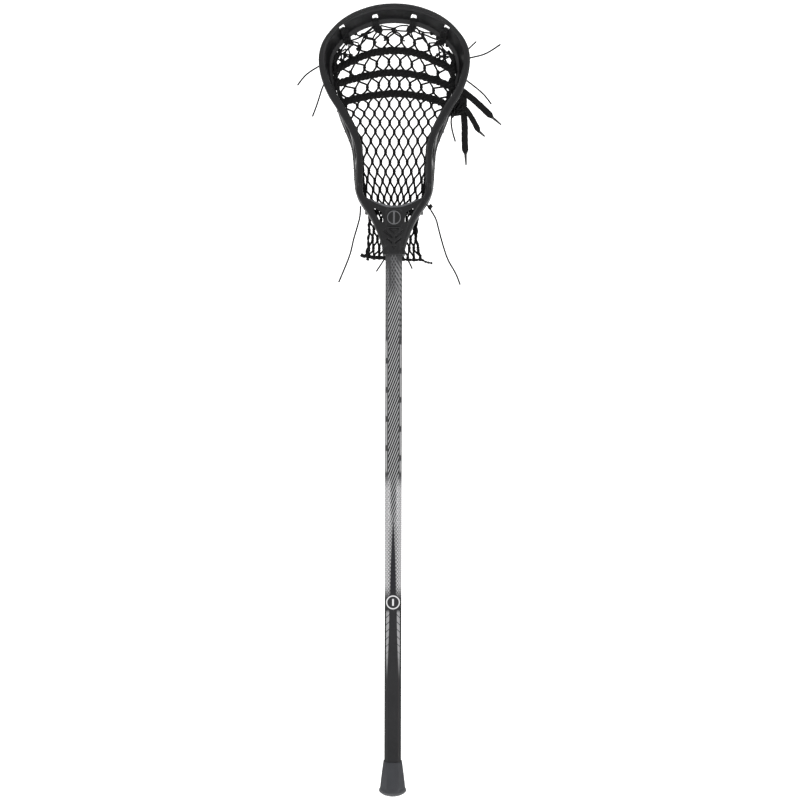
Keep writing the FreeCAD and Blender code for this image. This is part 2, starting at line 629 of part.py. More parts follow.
tail = thin_shell(tail_point, 16, 10, dim("mesh_thick"))
print("tail valid", tail.isValid(), round(tail.Volume))
feature("mesh_tail", tail)
sd = dim("string_dia")
tube("tail_hem_left", [(-43.3, 22.4, 709.8), (-32.0, 22.6, 707.8), (-20.0, 22.2, 706.4), (-8.0, 22.6, 706.0)], 3.6)
tube("tail_hem_right", [(9.0, 22.8, 704.4), (20.0, 22.2, 704.1), (33.5, 22.8, 704.0), (41.5, 22.4, 701.4),
                        (50.0, 22.6, 699.6)], sd)

# ---------------------------------------------------------------- strings on the head
def rail_inner(k, inset, back):
    """A point beside the inner face of the back rail at station k, right side."""
    x, z, yf, yb, wf, off, wb = STATIONS[k]
    nx, nz = normal_at(path_xz, mid + k * STEPS)
    if k == 0:
        nx, nz = 0.0, 1.0
    n = off - wb - inset
    return (x + nx * n, yb - back, z + nz * n)


side_right = [rail_inner(k, 2.0, 5.0) for k in (21, 20, 19, 18, 17, 16, 15, 14, 13, 12, 11, 10, 9, 8, 7)]
tube("sidewall_string_right", side_right, sd)
tube("sidewall_string_left", [(-x, y, z) for x, y, z in side_right], sd)
half_top = [rail_inner(k, 3.4, 3.0) for k in (5, 4, 3, 2, 1)]
tube("top_string", half_top + [(-x, y, z) for x, y, z in reversed(half_top)], sd)
tube("throat_string", [(-37.0, 33.2, 780.0), (-26.0, 35.6, 777.4), (-12.0, 37.4, 776.0), (0.0, 38.2, 775.6),
                       (12.0, 37.4, 776.0), (26.0, 35.6, 777.4), (37.0, 33.2, 780.0)], dim("thin_string"))


def lace(label, pts):
    """A shooting lace across the front of the mesh, laid on the pocket."""
    line = []
    for x, z in pts:
        line.append((x, pocket_y(x, z) - dim("lace_round") / 2 - 1.4, z))
    tube(label, line, dim("lace_round"))


lace("shooting_lace_upper", [(-71.0, 960.9), (-63.9, 964.7), (-46.8, 973.2), (-31.0, 978.7), (-16.4, 981.6),
                             (1.9, 982.4), (20.2, 980.9), (36.1, 977.2), (50.7, 970.6), (66.6, 962.8), (71.5, 959.7)])
lace("shooting_lace_middle", [(-71.0, 939.6), (-58.9, 944.2), (-28.4, 952.0), (-4.2, 954.7), (27.6, 951.8),
                              (53.0, 944.4), (71.0, 936.6)])
lace("shooting_lace_lower", [(-65.5, 914.6), (-48.8, 920.8), (-23.3, 926.0), (-0.4, 928.0), (27.6, 925.4),
                             (53.1, 918.8), (65.4, 912.1)])

# ---------------------------------------------------------------- free string ends
ts = dim("thin_string")
tube("string_end_left_upper", [(-90.4, 33.4, 966.4), (-101.0, 34.6, 960.4), (-112.0, 35.4, 954.0),
                               (-121.6, 35.6, 945.8), (-128.4, 35.0, 935.6)], ts)
tube("string_end_left_lower", [(-89.4, 36.0, 945.6), (-95.0, 37.4, 935.0), (-99.2, 38.2, 921.8),
                               (-103.4, 38.2, 908.0), (-108.6, 37.2, 894.6)], ts)
tube("string_end_right_upper", [(90.4, 33.4, 970.0), (103.6, 34.6, 973.4), (117.6, 35.2, 976.6),
                                (129.6, 35.2, 982.8), (140.6, 34.4, 990.6)], ts)
tube("string_end_right_middle", [(89.2, 35.4, 947.4), (101.4, 36.8, 938.8), (113.0, 37.6, 929.8),
                                 (121.8, 37.6, 921.4), (128.6, 37.0, 911.6)], ts)
tube("string_end_right_lower", [(76.8, 38.8, 899.2), (75.2, 41.4, 890.6), (76.2, 42.2, 881.0),
                                (78.4, 42.2, 871.2), (81.2, 41.8, 862.4)], ts)
tube("throat_string_end_left", [(-44.5, 25.6, 775.2), (-44.2, 27.0, 763.6), (-48.8, 27.6, 746.6),
                                (-53.6, 27.2, 731.0), (-56.8, 27.8, 715.0), (-61.0, 27.2, 703.0),
                                (-67.4, 27.6, 687.4), (-73.0, 27.0, 674.2)], ts)
tube("throat_string_end_right", [(48.6, 26.4, 769.6), (55.2, 27.4, 760.4), (58.6, 27.6, 746.4),
                                 (62.6, 27.2, 731.0), (67.4, 27.8, 715.0), (72.0, 27.2, 702.6),
                                 (79.0, 27.6, 691.4), (84.2, 27.6, 681.4), (87.6, 27.0, 671.4)], ts)
knot = doc.addObject("Part::Torus", "throat_knot_ring")
knot.Placement = FreeCAD.Placement(V(48.2, 26.2, 775.0), FreeCAD.Rotation(V(1, 0.4, 0), 70))
knot.Radius1, knot.Radius2 = 2.2, 1.3
keep(knot, "throat_string_knot")


def stub(label, a, b, dia):
    """A short cut end of string as a rounded rod."""
    a, b = V(*a), V(*b)
    rod = Part.makeCylinder(dia / 2, (b - a).Length, a, b - a)
    feature(label, rod.fuse(Part.makeSphere(dia / 2, b)).removeSplitter())


stub("string_stub_right_top", (90.6, 33.6, 976.6), (108.6, 36.0, 994.6), ts)
stub("tail_stub_left", (-14.4, 23.6, 701.4), (-23.4, 24.4, 688.4), ts)
stub("tail_stub_right", (19.6, 23.6, 700.8), (24.2, 24.4, 692.0), ts)

# ---------------------------------------------------------------- lace tails
lw, lt = dim("lace_width"), dim("lace_thick")
ribbon("lace_tail_side", [(86.0, 45.6, 933.6), (96.0, 45.6, 926.4), (112.6, 45.6, 912.6), (129.0, 45.6, 896.4)], lw, lt)
ribbon("lace_tail_middle", [(84.0, 48.6, 916.4), (94.0, 48.6, 908.6), (104.8, 48.6, 892.4), (112.2, 48.6, 877.6)],
       lw * 0.852, lt)
ribbon("lace_tail_down", [(91.8, 51.4, 906.0), (94.2, 51.4, 887.0), (93.6, 51.4, 866.0), (94.8, 51.4, 849.0)], lw, lt)


def tip(label, at, toward, length, radius):
    """A heat-sealed lace end: a short tapering plug."""
    c = doc.addObject("Part::Cone", label + "_cone")
    a, b = V(*at), V(*toward)
    axis = (b - a).normalize()
    c.Radius1, c.Radius2, c.Height = radius, radius * 0.55, length
    c.Placement = FreeCAD.Placement(a + axis * 0.7, FreeCAD.Rotation(V(0, 0, 1), axis))
    keep(c, label)


tip("lace_tip_side", (129.4, 45.6, 895.9), (142.4, 45.6, 885.2), 16.0, 1.9)
tip("lace_tip_middle", (112.6, 48.6, 877.0), (120.6, 48.6, 870.0), 10.0, 1.9)
tip("lace_tip_down", (94.9, 51.4, 848.0), (95.8, 51.4, 832.4), 15.2, 1.9)

# ---------------------------------------------------------------- checks and export
doc.recompute()
for obj in doc.Objects:
    bad = [s_ for s_ in obj.State if s_ in ("Invalid", "Error")]
    if bad:
        raise RuntimeError("%s: %s" % (obj.Label, bad))
for obj in nodes:
    shp = obj.Shape
    if shp.isNull() or not shp.isValid() or shp.Volume <= 0:
        raise RuntimeError("bad shape: %s valid %s volume %s" % (obj.Label, shp.isValid(), shp.Volume))
labels = [o.Label for o in nodes]
if len(set(labels)) != len(labels) or len(labels) > 60:
    raise RuntimeError("labels")
os.makedirs("parts", exist_ok=True)
for obj in nodes:
    obj.Shape.exportStep("parts/%s.step" % obj.Label)
    bb = obj.Shape.BoundBox
    print("%-26s vol %9.1f  x %7.1f %7.1f  y %6.1f %6.1f  z %7.1f %7.1f"
          % (obj.Label, obj.Shape.Volume, bb.XMin, bb.XMax, bb.YMin, bb.YMax, bb.ZMin, bb.ZMax))
print(len(nodes), "sub-parts")
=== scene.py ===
import math

import bpy
import numpy as np
from mathutils import Matrix, Vector


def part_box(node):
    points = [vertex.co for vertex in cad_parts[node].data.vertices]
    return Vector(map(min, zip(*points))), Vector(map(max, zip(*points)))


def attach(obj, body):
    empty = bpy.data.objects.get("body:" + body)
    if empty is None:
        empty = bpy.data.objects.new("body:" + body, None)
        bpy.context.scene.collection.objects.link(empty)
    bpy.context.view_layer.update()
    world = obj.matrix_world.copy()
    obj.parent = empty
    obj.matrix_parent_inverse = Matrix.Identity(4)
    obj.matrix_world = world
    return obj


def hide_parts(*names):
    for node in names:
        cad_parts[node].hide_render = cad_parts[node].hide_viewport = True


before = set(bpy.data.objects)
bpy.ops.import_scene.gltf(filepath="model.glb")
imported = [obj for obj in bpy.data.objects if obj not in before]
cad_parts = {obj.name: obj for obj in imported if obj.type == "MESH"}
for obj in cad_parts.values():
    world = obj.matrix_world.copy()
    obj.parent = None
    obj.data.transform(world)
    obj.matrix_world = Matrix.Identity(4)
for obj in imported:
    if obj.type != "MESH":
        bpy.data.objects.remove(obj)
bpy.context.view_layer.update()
scene = bpy.context.scene
coll = scene.collection
MM = 0.001

# ------------------------------------------------------------------ camera
cam_data = bpy.data.cameras.new("camera")
cam_data.lens = 99.96
cam_data.sensor_width = 36.0
cam_data.clip_start = 0.05
cam_data.clip_end = 60.0
cam = bpy.data.objects.new("camera", cam_data)
coll.objects.link(cam)
cam.matrix_world = (Matrix.Translation((0.00846, -2.910, 0.5188))
                    @ Matrix.Rotation(math.radians(90.0), 4, "X")
                    @ Matrix.Rotation(math.radians(0.138), 4, "Z"))
scene.camera = cam
scene.view_settings.view_transform = "Standard"
scene.view_settings.look = "None"


# ------------------------------------------------------------------ materials
def new_mat(name):
    m = bpy.data.materials.new(name)
    m.use_nodes = True
    nt = m.node_tree
    return m, nt, nt.nodes["Principled BSDF"]


def node(nt, kind, **props):
    n = nt.nodes.new(kind)
    for k, v in props.items():
        setattr(n, k, v)
    return n


def put(n, **vals):
    for k, v in vals.items():
        n.inputs[k.replace("_", " ")].default_value = v
    return n


def math_n(nt, op, a, b=None, c=None, clamp=False):
    n = nt.nodes.new("ShaderNodeMath")
    n.operation = op
    n.use_clamp = clamp
    for i, v in enumerate((a, b, c)):
        if v is None:
            continue
        if isinstance(v, (int, float)):
            n.inputs[i].default_value = float(v)
        else:
            nt.links.new(v, n.inputs[i])
    return n.outputs[0]


def ramp(nt, fac, stops):
    n = nt.nodes.new("ShaderNodeValToRGB")
    cr = n.color_ramp
    while len(cr.elements) > 1:
        cr.elements.remove(cr.elements[-1])
    cr.elements[0].position = stops[0][0]
    cr.elements[0].color = (*stops[0][1], 1)
    for p, c in stops[1:]:
        e = cr.elements.new(p)
        e.color = (*c, 1)
    nt.links.new(fac, n.inputs["Fac"])
    return n.outputs["Color"]


def mix_rgb(nt, fac, a, b):
    n = nt.nodes.new("ShaderNodeMix")
    n.data_type = "RGBA"
    for sock, v in ((n.inputs[0], fac), (n.inputs[6], a), (n.inputs[7], b)):
        if isinstance(v, (int, float)):
            sock.default_value = v
        elif isinstance(v, tuple):
            sock.default_value = (*v, 1) if len(v) == 3 else v
        else:
            nt.links.new(v, sock)
    return n.outputs[2]


def bump(nt, bsdf, height, strength=0.3, distance=0.0004, normal=None):
    b = nt.nodes.new("ShaderNodeBump")
    b.inputs["Strength"].default_value = strength
    b.inputs["Distance"].default_value = distance
    nt.links.new(height, b.inputs["Height"])
    if normal is not None:
        nt.links.new(normal, b.inputs["Normal"])
    nt.links.new(b.outputs["Normal"], bsdf.inputs["Normal"])
    return b.outputs["Normal"]


def noise(nt, vec, scale, detail=3.0, rough=0.5):
    n = nt.nodes.new("ShaderNodeTexNoise")
    n.inputs["Scale"].default_value = scale
    n.inputs["Detail"].default_value = detail
    n.inputs["Roughness"].default_value = rough
    nt.links.new(vec, n.inputs["Vector"])
    return n.outputs["Fac"]


def coords(nt):
    return nt.nodes.new("ShaderNodeTexCoord").outputs["Object"]


def split(nt, vec):
    n = nt.nodes.new("ShaderNodeSeparateXYZ")
    nt.links.new(vec, n.inputs[0])
    return n.outputs


def mat_nylon():
    """Moulded nylon: dark, fine grain, sharp edges lighter as a painted highlight."""
    m, nt, p = new_mat("head_nylon")
    v = coords(nt)
    fine = noise(nt, v, 1400.0, 2.0)
    broad = noise(nt, v, 34.0, 4.0)
    # painted highlight: sharp convex edges (high pointiness) are mixed towards a lighter grey
    geo = nt.nodes.new("ShaderNodeNewGeometry")
    edge = math_n(nt, "SUBTRACT", geo.outputs["Pointiness"], 0.515)
    edge = math_n(nt, "MULTIPLY", edge, 9.0, clamp=True)
    base = ramp(nt, broad, [(0.3, (0.0055, 0.0055, 0.0060)), (0.7, (0.0090, 0.0090, 0.0096))])
    col = mix_rgb(nt, edge, base, (0.052, 0.052, 0.055))
    nt.links.new(col, p.inputs["Base Color"])
    rough = math_n(nt, "MULTIPLY_ADD", broad, 0.12, 0.26)
    nt.links.new(rough, p.inputs["Roughness"])
    p.inputs["Specular IOR Level"].default_value = 0.24
    p.inputs["Coat Weight"].default_value = 0.0
    bump(nt, p, fine, 0.25, 0.00012)
    return m


def mat_string(name, dark=(0.0045, 0.0045, 0.005), light=(0.013, 0.013, 0.014), scale=900.0, rough=0.62, sheen=0.25):
    """Braided or twisted synthetic string."""
    m, nt, p = new_mat(name)
    v = coords(nt)
    w1 = node(nt, "ShaderNodeTexWave", wave_type="BANDS", bands_direction="DIAGONAL")
    put(w1, Scale=scale * 0.32, Distortion=1.2, Detail=1.0)
    nt.links.new(v, w1.inputs["Vector"])
    n1 = noise(nt, v, scale, 3.0, 0.6)
    hgt = math_n(nt, "MULTIPLY_ADD", w1.outputs["Fac"], 0.6, n1)
    col = ramp(nt, hgt, [(0.35, dark), (1.1, light)])
    nt.links.new(col, p.inputs["Base Color"])
    p.inputs["Roughness"].default_value = rough
    p.inputs["Specular IOR Level"].default_value = 0.14
    p.inputs["Sheen Weight"].default_value = sheen
    p.inputs["Sheen Roughness"].default_value = 0.5
    bump(nt, p, hgt, 0.5, 0.0003)
    return m


def mat_rubber():
    m, nt, p = new_mat("cap_rubber")
    v = coords(nt)
    s = split(nt, v)
    fine = noise(nt, v, 1800.0, 2.0)
    broad = noise(nt, v, 60.0, 4.0)
    worn = noise(nt, v, 240.0, 4.0, 0.7)
    low = math_n(nt, "MULTIPLY_ADD", s[2], -60.0, 0.75, clamp=True)
    wear = math_n(nt, "MULTIPLY", math_n(nt, "MULTIPLY", low, worn), 0.55)
    base = ramp(nt, broad, [(0.3, (0.0135, 0.0148, 0.0185)), (0.7, (0.0215, 0.0228, 0.0275))])
    col = mix_rgb(nt, wear, base, (0.055, 0.055, 0.056))
    nt.links.new(col, p.inputs["Base Color"])
    nt.links.new(math_n(nt, "MULTIPLY_ADD", broad, 0.18, 0.46), p.inputs["Roughness"])
    p.inputs["Specular IOR Level"].default_value = 0.4
    bump(nt, p, fine, 0.3, 0.00015)
    return m


def mat_foam_and_painted_highlight():
    m, nt, p = new_mat("pad_foam")
    v = coords(nt)
    vor = node(nt, "ShaderNodeTexVoronoi")
    put(vor, Scale=1500.0)
    nt.links.new(v, vor.inputs["Vector"])
    n = noise(nt, v, 90.0, 4.0)
    # partly the foam's own grey, partly painted highlight: kept light so its top edge stands in for the highlight along
    # the ball stop
    col = ramp(nt, n, [(0.3, (0.085, 0.087, 0.092)), (0.7, (0.120, 0.122, 0.130))])
    nt.links.new(col, p.inputs["Base Color"])
    p.inputs["Roughness"].default_value = 0.85
    p.inputs["Specular IOR Level"].default_value = 0.2
    bump(nt, p, vor.outputs["Distance"], 0.35, 0.0003)
    return m


def mat_print(name, c0, c1):
    m, nt, p = new_mat(name)
    v = coords(nt)
    n = noise(nt, v, 420.0, 4.0, 0.6)
    col = ramp(nt, n, [(0.3, c0), (0.7, c1)])
    nt.links.new(col, p.inputs["Base Color"])
    p.inputs["Roughness"].default_value = 0.45
    bump(nt, p, n, 0.15, 0.0001)
    return m


def mat_steel():
    m, nt, p = new_mat("screw_steel")
    v = coords(nt)
    n = noise(nt, v, 900.0, 3.0)
    nt.links.new(ramp(nt, n, [(0.3, (0.20, 0.20, 0.205)), (0.7, (0.36, 0.36, 0.365))]), p.inputs["Base Color"])
    p.inputs["Metallic"].default_value = 1.0
    nt.links.new(math_n(nt, "MULTIPLY_ADD", n, 0.25, 0.28), p.inputs["Roughness"])
    bump(nt, p, n, 0.2, 0.00008)
    return m


def mat_shaft():
    """Painted alloy with a printed pattern: scales and chevrons at the top, slanted
    stripes, a dark spike between two fields of light scales, a plain ring, and two
    tapering broken stripes, fading to a plain dark grip."""
    m, nt, p = new_mat("shaft_alloy")
    v = coords(nt)
    s = split(nt, v)
    # millimetres
    x = math_n(nt, "MULTIPLY", s[0], 1000.0)
    y = math_n(nt, "MULTIPLY", s[1], 1000.0)
    z = math_n(nt, "MULTIPLY", s[2], 1000.0)
    ax = math_n(nt, "ABSOLUTE", x)

    def step(val, a, b):
        """0 below a, 1 above b, smooth between."""
        n = nt.nodes.new("ShaderNodeMapRange")
        n.interpolation_type = "SMOOTHSTEP"
        n.clamp = True
        n.inputs["From Min"].default_value = a
        n.inputs["From Max"].default_value = b
        n.inputs["To Min"].default_value = 0.0
        n.inputs["To Max"].default_value = 1.0
        nt.links.new(val, n.inputs["Value"])
        return n.outputs["Result"]

    def inv(a):
        return math_n(nt, "SUBTRACT", 1.0, a)

    def mul(*vals):
        out = vals[0]
        for q in vals[1:]:
            out = math_n(nt, "MULTIPLY", out, q)
        return out

    def band(val, lo, hi, soft):
        return mul(step(val, lo - soft, lo + soft), inv(step(val, hi - soft, hi + soft)))

    def stripes(val, period, duty, soft=0.10):
        """1 on the light part of a repeating stripe."""
        f = math_n(nt, "FRACT", math_n(nt, "DIVIDE", val, period))
        d = math_n(nt, "ABSOLUTE", math_n(nt, "SUBTRACT", f, 0.5))
        return inv(step(d, duty / 2 - soft / 2, duty / 2 + soft / 2))

    def affine(a, ka, b, kb):
        return math_n(nt, "ADD", math_n(nt, "MULTIPLY", a, ka), math_n(nt, "MULTIPLY", b, kb))

    # upper braid: two sets of crossing lines that leave dark lens shapes between them,
    # strongest down the middle of the facet
    turn = math_n(nt, "SUBTRACT", math_n(nt, "ABSOLUTE", y), 12.7)
    chev = math_n(nt, "ADD", affine(x, 2.0, z, 1.0), math_n(nt, "MULTIPLY", turn, 1.6))
    chev2 = math_n(nt, "ADD", affine(x, -2.0, z, 1.0), math_n(nt, "MULTIPLY", turn, -1.6))
    lines = math_n(nt, "MAXIMUM", stripes(chev, 7.6, 0.40, 0.26), stripes(chev2, 7.6, 0.40, 0.26))
    braid_zone = mul(step(z, 648.0, 672.0), inv(step(ax, 2.8, 5.4)))
    edge_braid = mul(band(z, 604.0, 690.0, 10.0), step(ax, 5.6, 6.6), inv(step(ax, 9.6, 10.6)))
    # long falling lines to the right of the braid
    fall = mul(stripes(affine(x, 1.7, z, 1.0), 7.6, 0.50, 0.24), step(x, 1.6, 2.6), band(z, 636.0, 698.0, 6.0))
    # slanted stripes on the front and back facets
    slant = affine(x, -2.55, z, 1.0)
    slants = stripes(slant, 7.7, 0.40, 0.14)
    core = inv(step(ax, 6.6, 7.4))
    slant_zone = mul(band(z, 352.0, 660.0, 14.0))
    mid_slant = mul(inv(step(ax, 2.6, 4.6)), step(z, 340.0, 384.0))
    # light dashes along the side facets, framed by a dark line
    dash_z = math_n(nt, "FRACT", math_n(nt, "DIVIDE", math_n(nt, "ADD", z, mul(step(x, -0.1, 0.1), 13.0)), 38.0))
    dash = mul(band(dash_z, 0.10, 0.90, 0.015), band(ax, 8.1, 10.2, 0.35))
    frame_line = band(ax, 6.9, 7.9, 0.3)
    dash_zone = band(z, 425.0, 596.0, 3.0)
    # fields of light scales with a dark spike between them
    wide = math_n(nt, "ADD", ax, math_n(nt, "MULTIPLY", turn, -1.0))
    s1 = stripes(affine(wide, 1.3, z, 1.0), 5.0, 0.68, 0.2)
    s2 = stripes(affine(wide, -1.3, z, 1.0), 5.0, 0.68, 0.2)
    shade = math_n(nt, "MULTIPLY_ADD", step(ax, 1.0, 8.5), 0.52, 0.48)
    scale_tex = mul(math_n(nt, "MULTIPLY_ADD", mul(s1, s2), 0.82, 0.18), shade)
    scale_zone = band(z, 268.0, 412.0, 12.0)
    # step() needs rising limits, so the spike's half width falls with height
    spike_w = math_n(nt, "MULTIPLY", inv(step(z, 268.0, 392.0)), 3.7)
    spike = inv(step(math_n(nt, "SUBTRACT", ax, spike_w), -0.35, 0.35))
    # ring
    dz = math_n(nt, "SUBTRACT", z, 254.8)
    rr = math_n(nt, "SQRT", math_n(nt, "ADD", mul(x, x), mul(dz, dz)))
    ring = band(rr, 7.6, 9.0, 0.25)
    ring_in = inv(step(rr, 9.6, 10.6))
    bars = mul(inv(step(ax, 0.9, 1.4)), inv(step(math_n(nt, "ABSOLUTE", dz), 4.2, 4.7)))
    # two tapering stripes, broken by slanted cuts
    taper = step(z, 152.0, 240.0)
    t_in = math_n(nt, "MULTIPLY_ADD", taper, -2.0, 7.0)
    stripe2 = mul(step(math_n(nt, "SUBTRACT", ax, t_in), -0.25, 0.25), inv(step(ax, 8.6, 9.2)))
    cuts = stripes(affine(ax, 1.1, z, 1.0), 9.4, 0.86, 0.10)
    cuts_mix = math_n(nt, "MAXIMUM", cuts, inv(step(z, 165.0, 215.0)))
    stripe_zone = mul(step(z, 150.0, 196.0), inv(step(z, 240.0, 246.0)))
    # soft wear
    n1 = noise(nt, v, 260.0, 4.0, 0.6)
    n2 = noise(nt, v, 22.0, 3.0, 0.5)

    dark = ramp(nt, n2, [(0.3, (0.0110, 0.0110, 0.0120)), (0.7, (0.0155, 0.0155, 0.0166))])
    light_up = (0.095, 0.095, 0.098)
    light_mid = (0.36, 0.36, 0.367)
    light_low = (0.58, 0.58, 0.59)
    grey = ramp(nt, n2, [(0.3, (0.034, 0.034, 0.0355)), (0.7, (0.045, 0.045, 0.047))])
    col = mix_rgb(nt, step(z, 396.0, 430.0), dark, grey)
    col = mix_rgb(nt, mul(braid_zone, 0.9), col, (0.020, 0.020, 0.021))
    col = mix_rgb(nt, mul(lines, braid_zone), col, light_up)
    col = mix_rgb(nt, mul(inv(lines), edge_braid, 0.7), col, (0.024, 0.024, 0.025))
    col = mix_rgb(nt, mul(lines, edge_braid, 0.7), col, (0.17, 0.17, 0.175))
    col = mix_rgb(nt, mul(fall, 0.8), col, (0.20, 0.20, 0.205))
    col = mix_rgb(nt, mul(slants, slant_zone, core), col, light_mid)
    col = mix_rgb(nt, mul(slant_zone, inv(slants), core, 0.98), col, (0.004, 0.004, 0.0045))
    col = mix_rgb(nt, mul(dash, dash_zone, 0.9), col, (0.30, 0.30, 0.305))
    col = mix_rgb(nt, mul(frame_line, band(z, 420.0, 600.0, 4.0), 0.85), col, (0.020, 0.020, 0.021))
    col = mix_rgb(nt, mul(scale_tex, scale_zone, inv(spike), inv(mid_slant)), col, light_low)
    col = mix_rgb(nt, mul(spike, scale_zone, inv(mid_slant)), col, (0.010, 0.010, 0.013))
    col = mix_rgb(nt, mul(stripe2, cuts_mix, stripe_zone, 0.9), col, (0.30, 0.30, 0.305))
    # the ring sits on a dark disc, on the front and back alike
    face = step(math_n(nt, "ABSOLUTE", y), 6.6, 7.4)
    col = mix_rgb(nt, mul(ring_in, face), col, (0.018, 0.018, 0.020))
    col = mix_rgb(nt, mul(math_n(nt, "MAXIMUM", ring, bars), face), col, (0.62, 0.62, 0.63))
    col = mix_rgb(nt, mul(math_n(nt, "SUBTRACT", n1, 0.45), 0.12), col, (0.10, 0.10, 0.10))
    nt.links.new(col, p.inputs["Base Color"])
    p.inputs["Metallic"].default_value = 0.0
    nt.links.new(math_n(nt, "MULTIPLY_ADD", n1, 0.16, 0.36), p.inputs["Roughness"])
    p.inputs["Specular IOR Level"].default_value = 0.16
    p.inputs["Coat Weight"].default_value = 0.02
    p.inputs["Coat Roughness"].default_value = 0.35
    bump(nt, p, n1, 0.06, 0.00008)
    return m


M_NYLON = mat_nylon()
M_MESH = mat_string("mesh_fibre", (0.0018, 0.0018, 0.0020), (0.0058, 0.0058, 0.0062), 1100.0, 0.6, 0.02)
M_STRING = mat_string("string_fibre", (0.0022, 0.0022, 0.0024), (0.0075, 0.0075, 0.0080), 1000.0, 0.55, 0.02)
M_LACE = mat_string("lace_fibre", (0.0014, 0.0014, 0.0016), (0.0062, 0.0062, 0.0066), 650.0, 0.7, 0.03)
M_RUBBER = mat_rubber()
M_FOAM_PAINTED_HIGHLIGHT = mat_foam_and_painted_highlight()
M_BADGE = mat_print("badge_print", (0.062, 0.062, 0.066), (0.088, 0.088, 0.094))
M_STEEL = mat_steel()
M_SHAFT = mat_shaft()
M_TIP = mat_print("tip_plastic", (0.0035, 0.0035, 0.004), (0.007, 0.007, 0.0075))


def set_mat(obj, mat):
    obj.data.materials.clear()
    obj.data.materials.append(mat)


# ------------------------------------------------------------------ geometry helpers
def interp(pts, x):
    """Smooth (monotone cubic) interpolation of a table."""
    if x <= pts[0][0]:
        return pts[0][1]
    if x >= pts[-1][0]:
        return pts[-1][1]
    n = len(pts)
    d = [(pts[i + 1][1] - pts[i][1]) / (pts[i + 1][0] - pts[i][0]) for i in range(n - 1)]
    m = [d[0]] + [0.0 if d[i - 1] * d[i] <= 0 else 2 * d[i - 1] * d[i] / (d[i - 1] + d[i])
                  for i in range(1, n - 1)] + [d[-1]]
    for i in range(n - 1):
        if x <= pts[i + 1][0]:
            w = pts[i + 1][0] - pts[i][0]
            u = (x - pts[i][0]) / w
            return ((2 * u ** 3 - 3 * u ** 2 + 1) * pts[i][1] + (u ** 3 - 2 * u ** 2 + u) * w * m[i]
                    + (-2 * u ** 3 + 3 * u ** 2) * pts[i + 1][1] + (u ** 3 - u ** 2) * w * m[i + 1])
    return pts[-1][1]


def smooth_path(pts, step=1.5):
    """Points every `step` mm along a Catmull-Rom curve through pts."""
    pts = [Vector(p) for p in pts]
    out = []
    for i in range(len(pts) - 1):
        a, b, c, d = pts[max(i - 1, 0)], pts[i], pts[i + 1], pts[min(i + 2, len(pts) - 1)]
        n = max(2, int((c - b).length / step))
        for j in range(n):
            t = j / n
            out.append(0.5 * ((2 * b) + (c - a) * t + (2 * a - 5 * b + 4 * c - d) * t * t
                              + (3 * b - a - 3 * c + d) * t ** 3))
    out.append(pts[-1])
    return out


class Tubes:
    """Many round or flat tubes gathered into one mesh, in mm."""

    def __init__(self):
        self.v, self.f = [], []

    def add(self, path, radius, sides=7, closed=False, flat=None, up=None, close_ends=True):
        """radius: number or list.  flat=(a, b) gives an oval a wide and b thick whose
        thin side faces along `up`."""
        pts = [Vector(p) for p in path]
        n = len(pts)
        if n < 2:
            return
        tang = []
        for i in range(n):
            if closed:
                t = pts[(i + 1) % n] - pts[i - 1]
            else:
                t = pts[min(i + 1, n - 1)] - pts[max(i - 1, 0)]
            if t.length < 1e-9:
                t = Vector((0, 0, 1))
            tang.append(t.normalized())
        ref = Vector(up) if up is not None else (Vector((0, 1, 0)) if abs(tang[0].y) < 0.9 else Vector((1, 0, 0)))
        base = len(self.v)
        side = tang[0].cross(ref)
        side = side.normalized() if side.length > 1e-6 else Vector((1, 0, 0))
        for i in range(n):
            if up is not None:
                u_ = Vector(up[i]) if hasattr(up[0], "__len__") else Vector(up)
                s2 = tang[i].cross(u_)
                if s2.length > 1e-6:
                    side = s2.normalized()
            else:
                side = side - tang[i] * side.dot(tang[i])
                side = side.normalized() if side.length > 1e-6 else Vector((1, 0, 0))
            nor = side.cross(tang[i]).normalized()
            r = radius[i] if hasattr(radius, "__len__") else radius
            for k in range(sides):
                a = 2 * math.pi * k / sides
                if flat is None:
                    off = side * (math.cos(a) * r) + nor * (math.sin(a) * r)
                else:
                    fx = abs(math.cos(a)) ** 0.6 * math.copysign(1, math.cos(a))
                    off = side * (fx * flat[0] / 2 * r) + nor * (math.sin(a) * flat[1] / 2 * r)
                self.v.append(tuple((pts[i] + off) * MM))
        rings = n if closed else n - 1
        for i in range(rings):
            a0, b0 = base + i * sides, base + ((i + 1) % n) * sides
            for k in range(sides):
                k2 = (k + 1) % sides
                self.f.append((a0 + k, b0 + k, b0 + k2, a0 + k2))
        if not closed and close_ends:
            self.f.append(tuple(base + k for k in range(sides)))
            e = base + (n - 1) * sides
            self.f.append(tuple(e + k for k in reversed(range(sides))))

    def make(self, name, mat, body="stick"):
        me = bpy.data.meshes.new(name)
        me.from_pydata(self.v, [], self.f)
        me.validate()
        me.update()
        for poly in me.polygons:
            poly.use_smooth = True
        ob = bpy.data.objects.new(name, me)
        coll.objects.link(ob)
        me.materials.append(mat)
        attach(ob, body)
        return ob


def helix(path, off, turns_per_mm, phase=0.0, squash=1.0):
    """A strand that winds round a path."""
    pts = [Vector(p) for p in path]
    out, dist = [], 0.0
    side = None
    for i, p in enumerate(pts):
        t = (pts[min(i + 1, len(pts) - 1)] - pts[max(i - 1, 0)]).normalized()
        if side is None:
            side = t.cross(Vector((0, 1, 0)))
            side = side.normalized() if side.length > 1e-6 else Vector((1, 0, 0))
        side = (side - t * side.dot(t)).normalized()
        nor = side.cross(t)
        if i:
            dist += (p - pts[i - 1]).length
        a = 2 * math.pi * dist * turns_per_mm + phase
        out.append(p + side * (math.cos(a) * off) + nor * (math.sin(a) * off * squash))
    return out


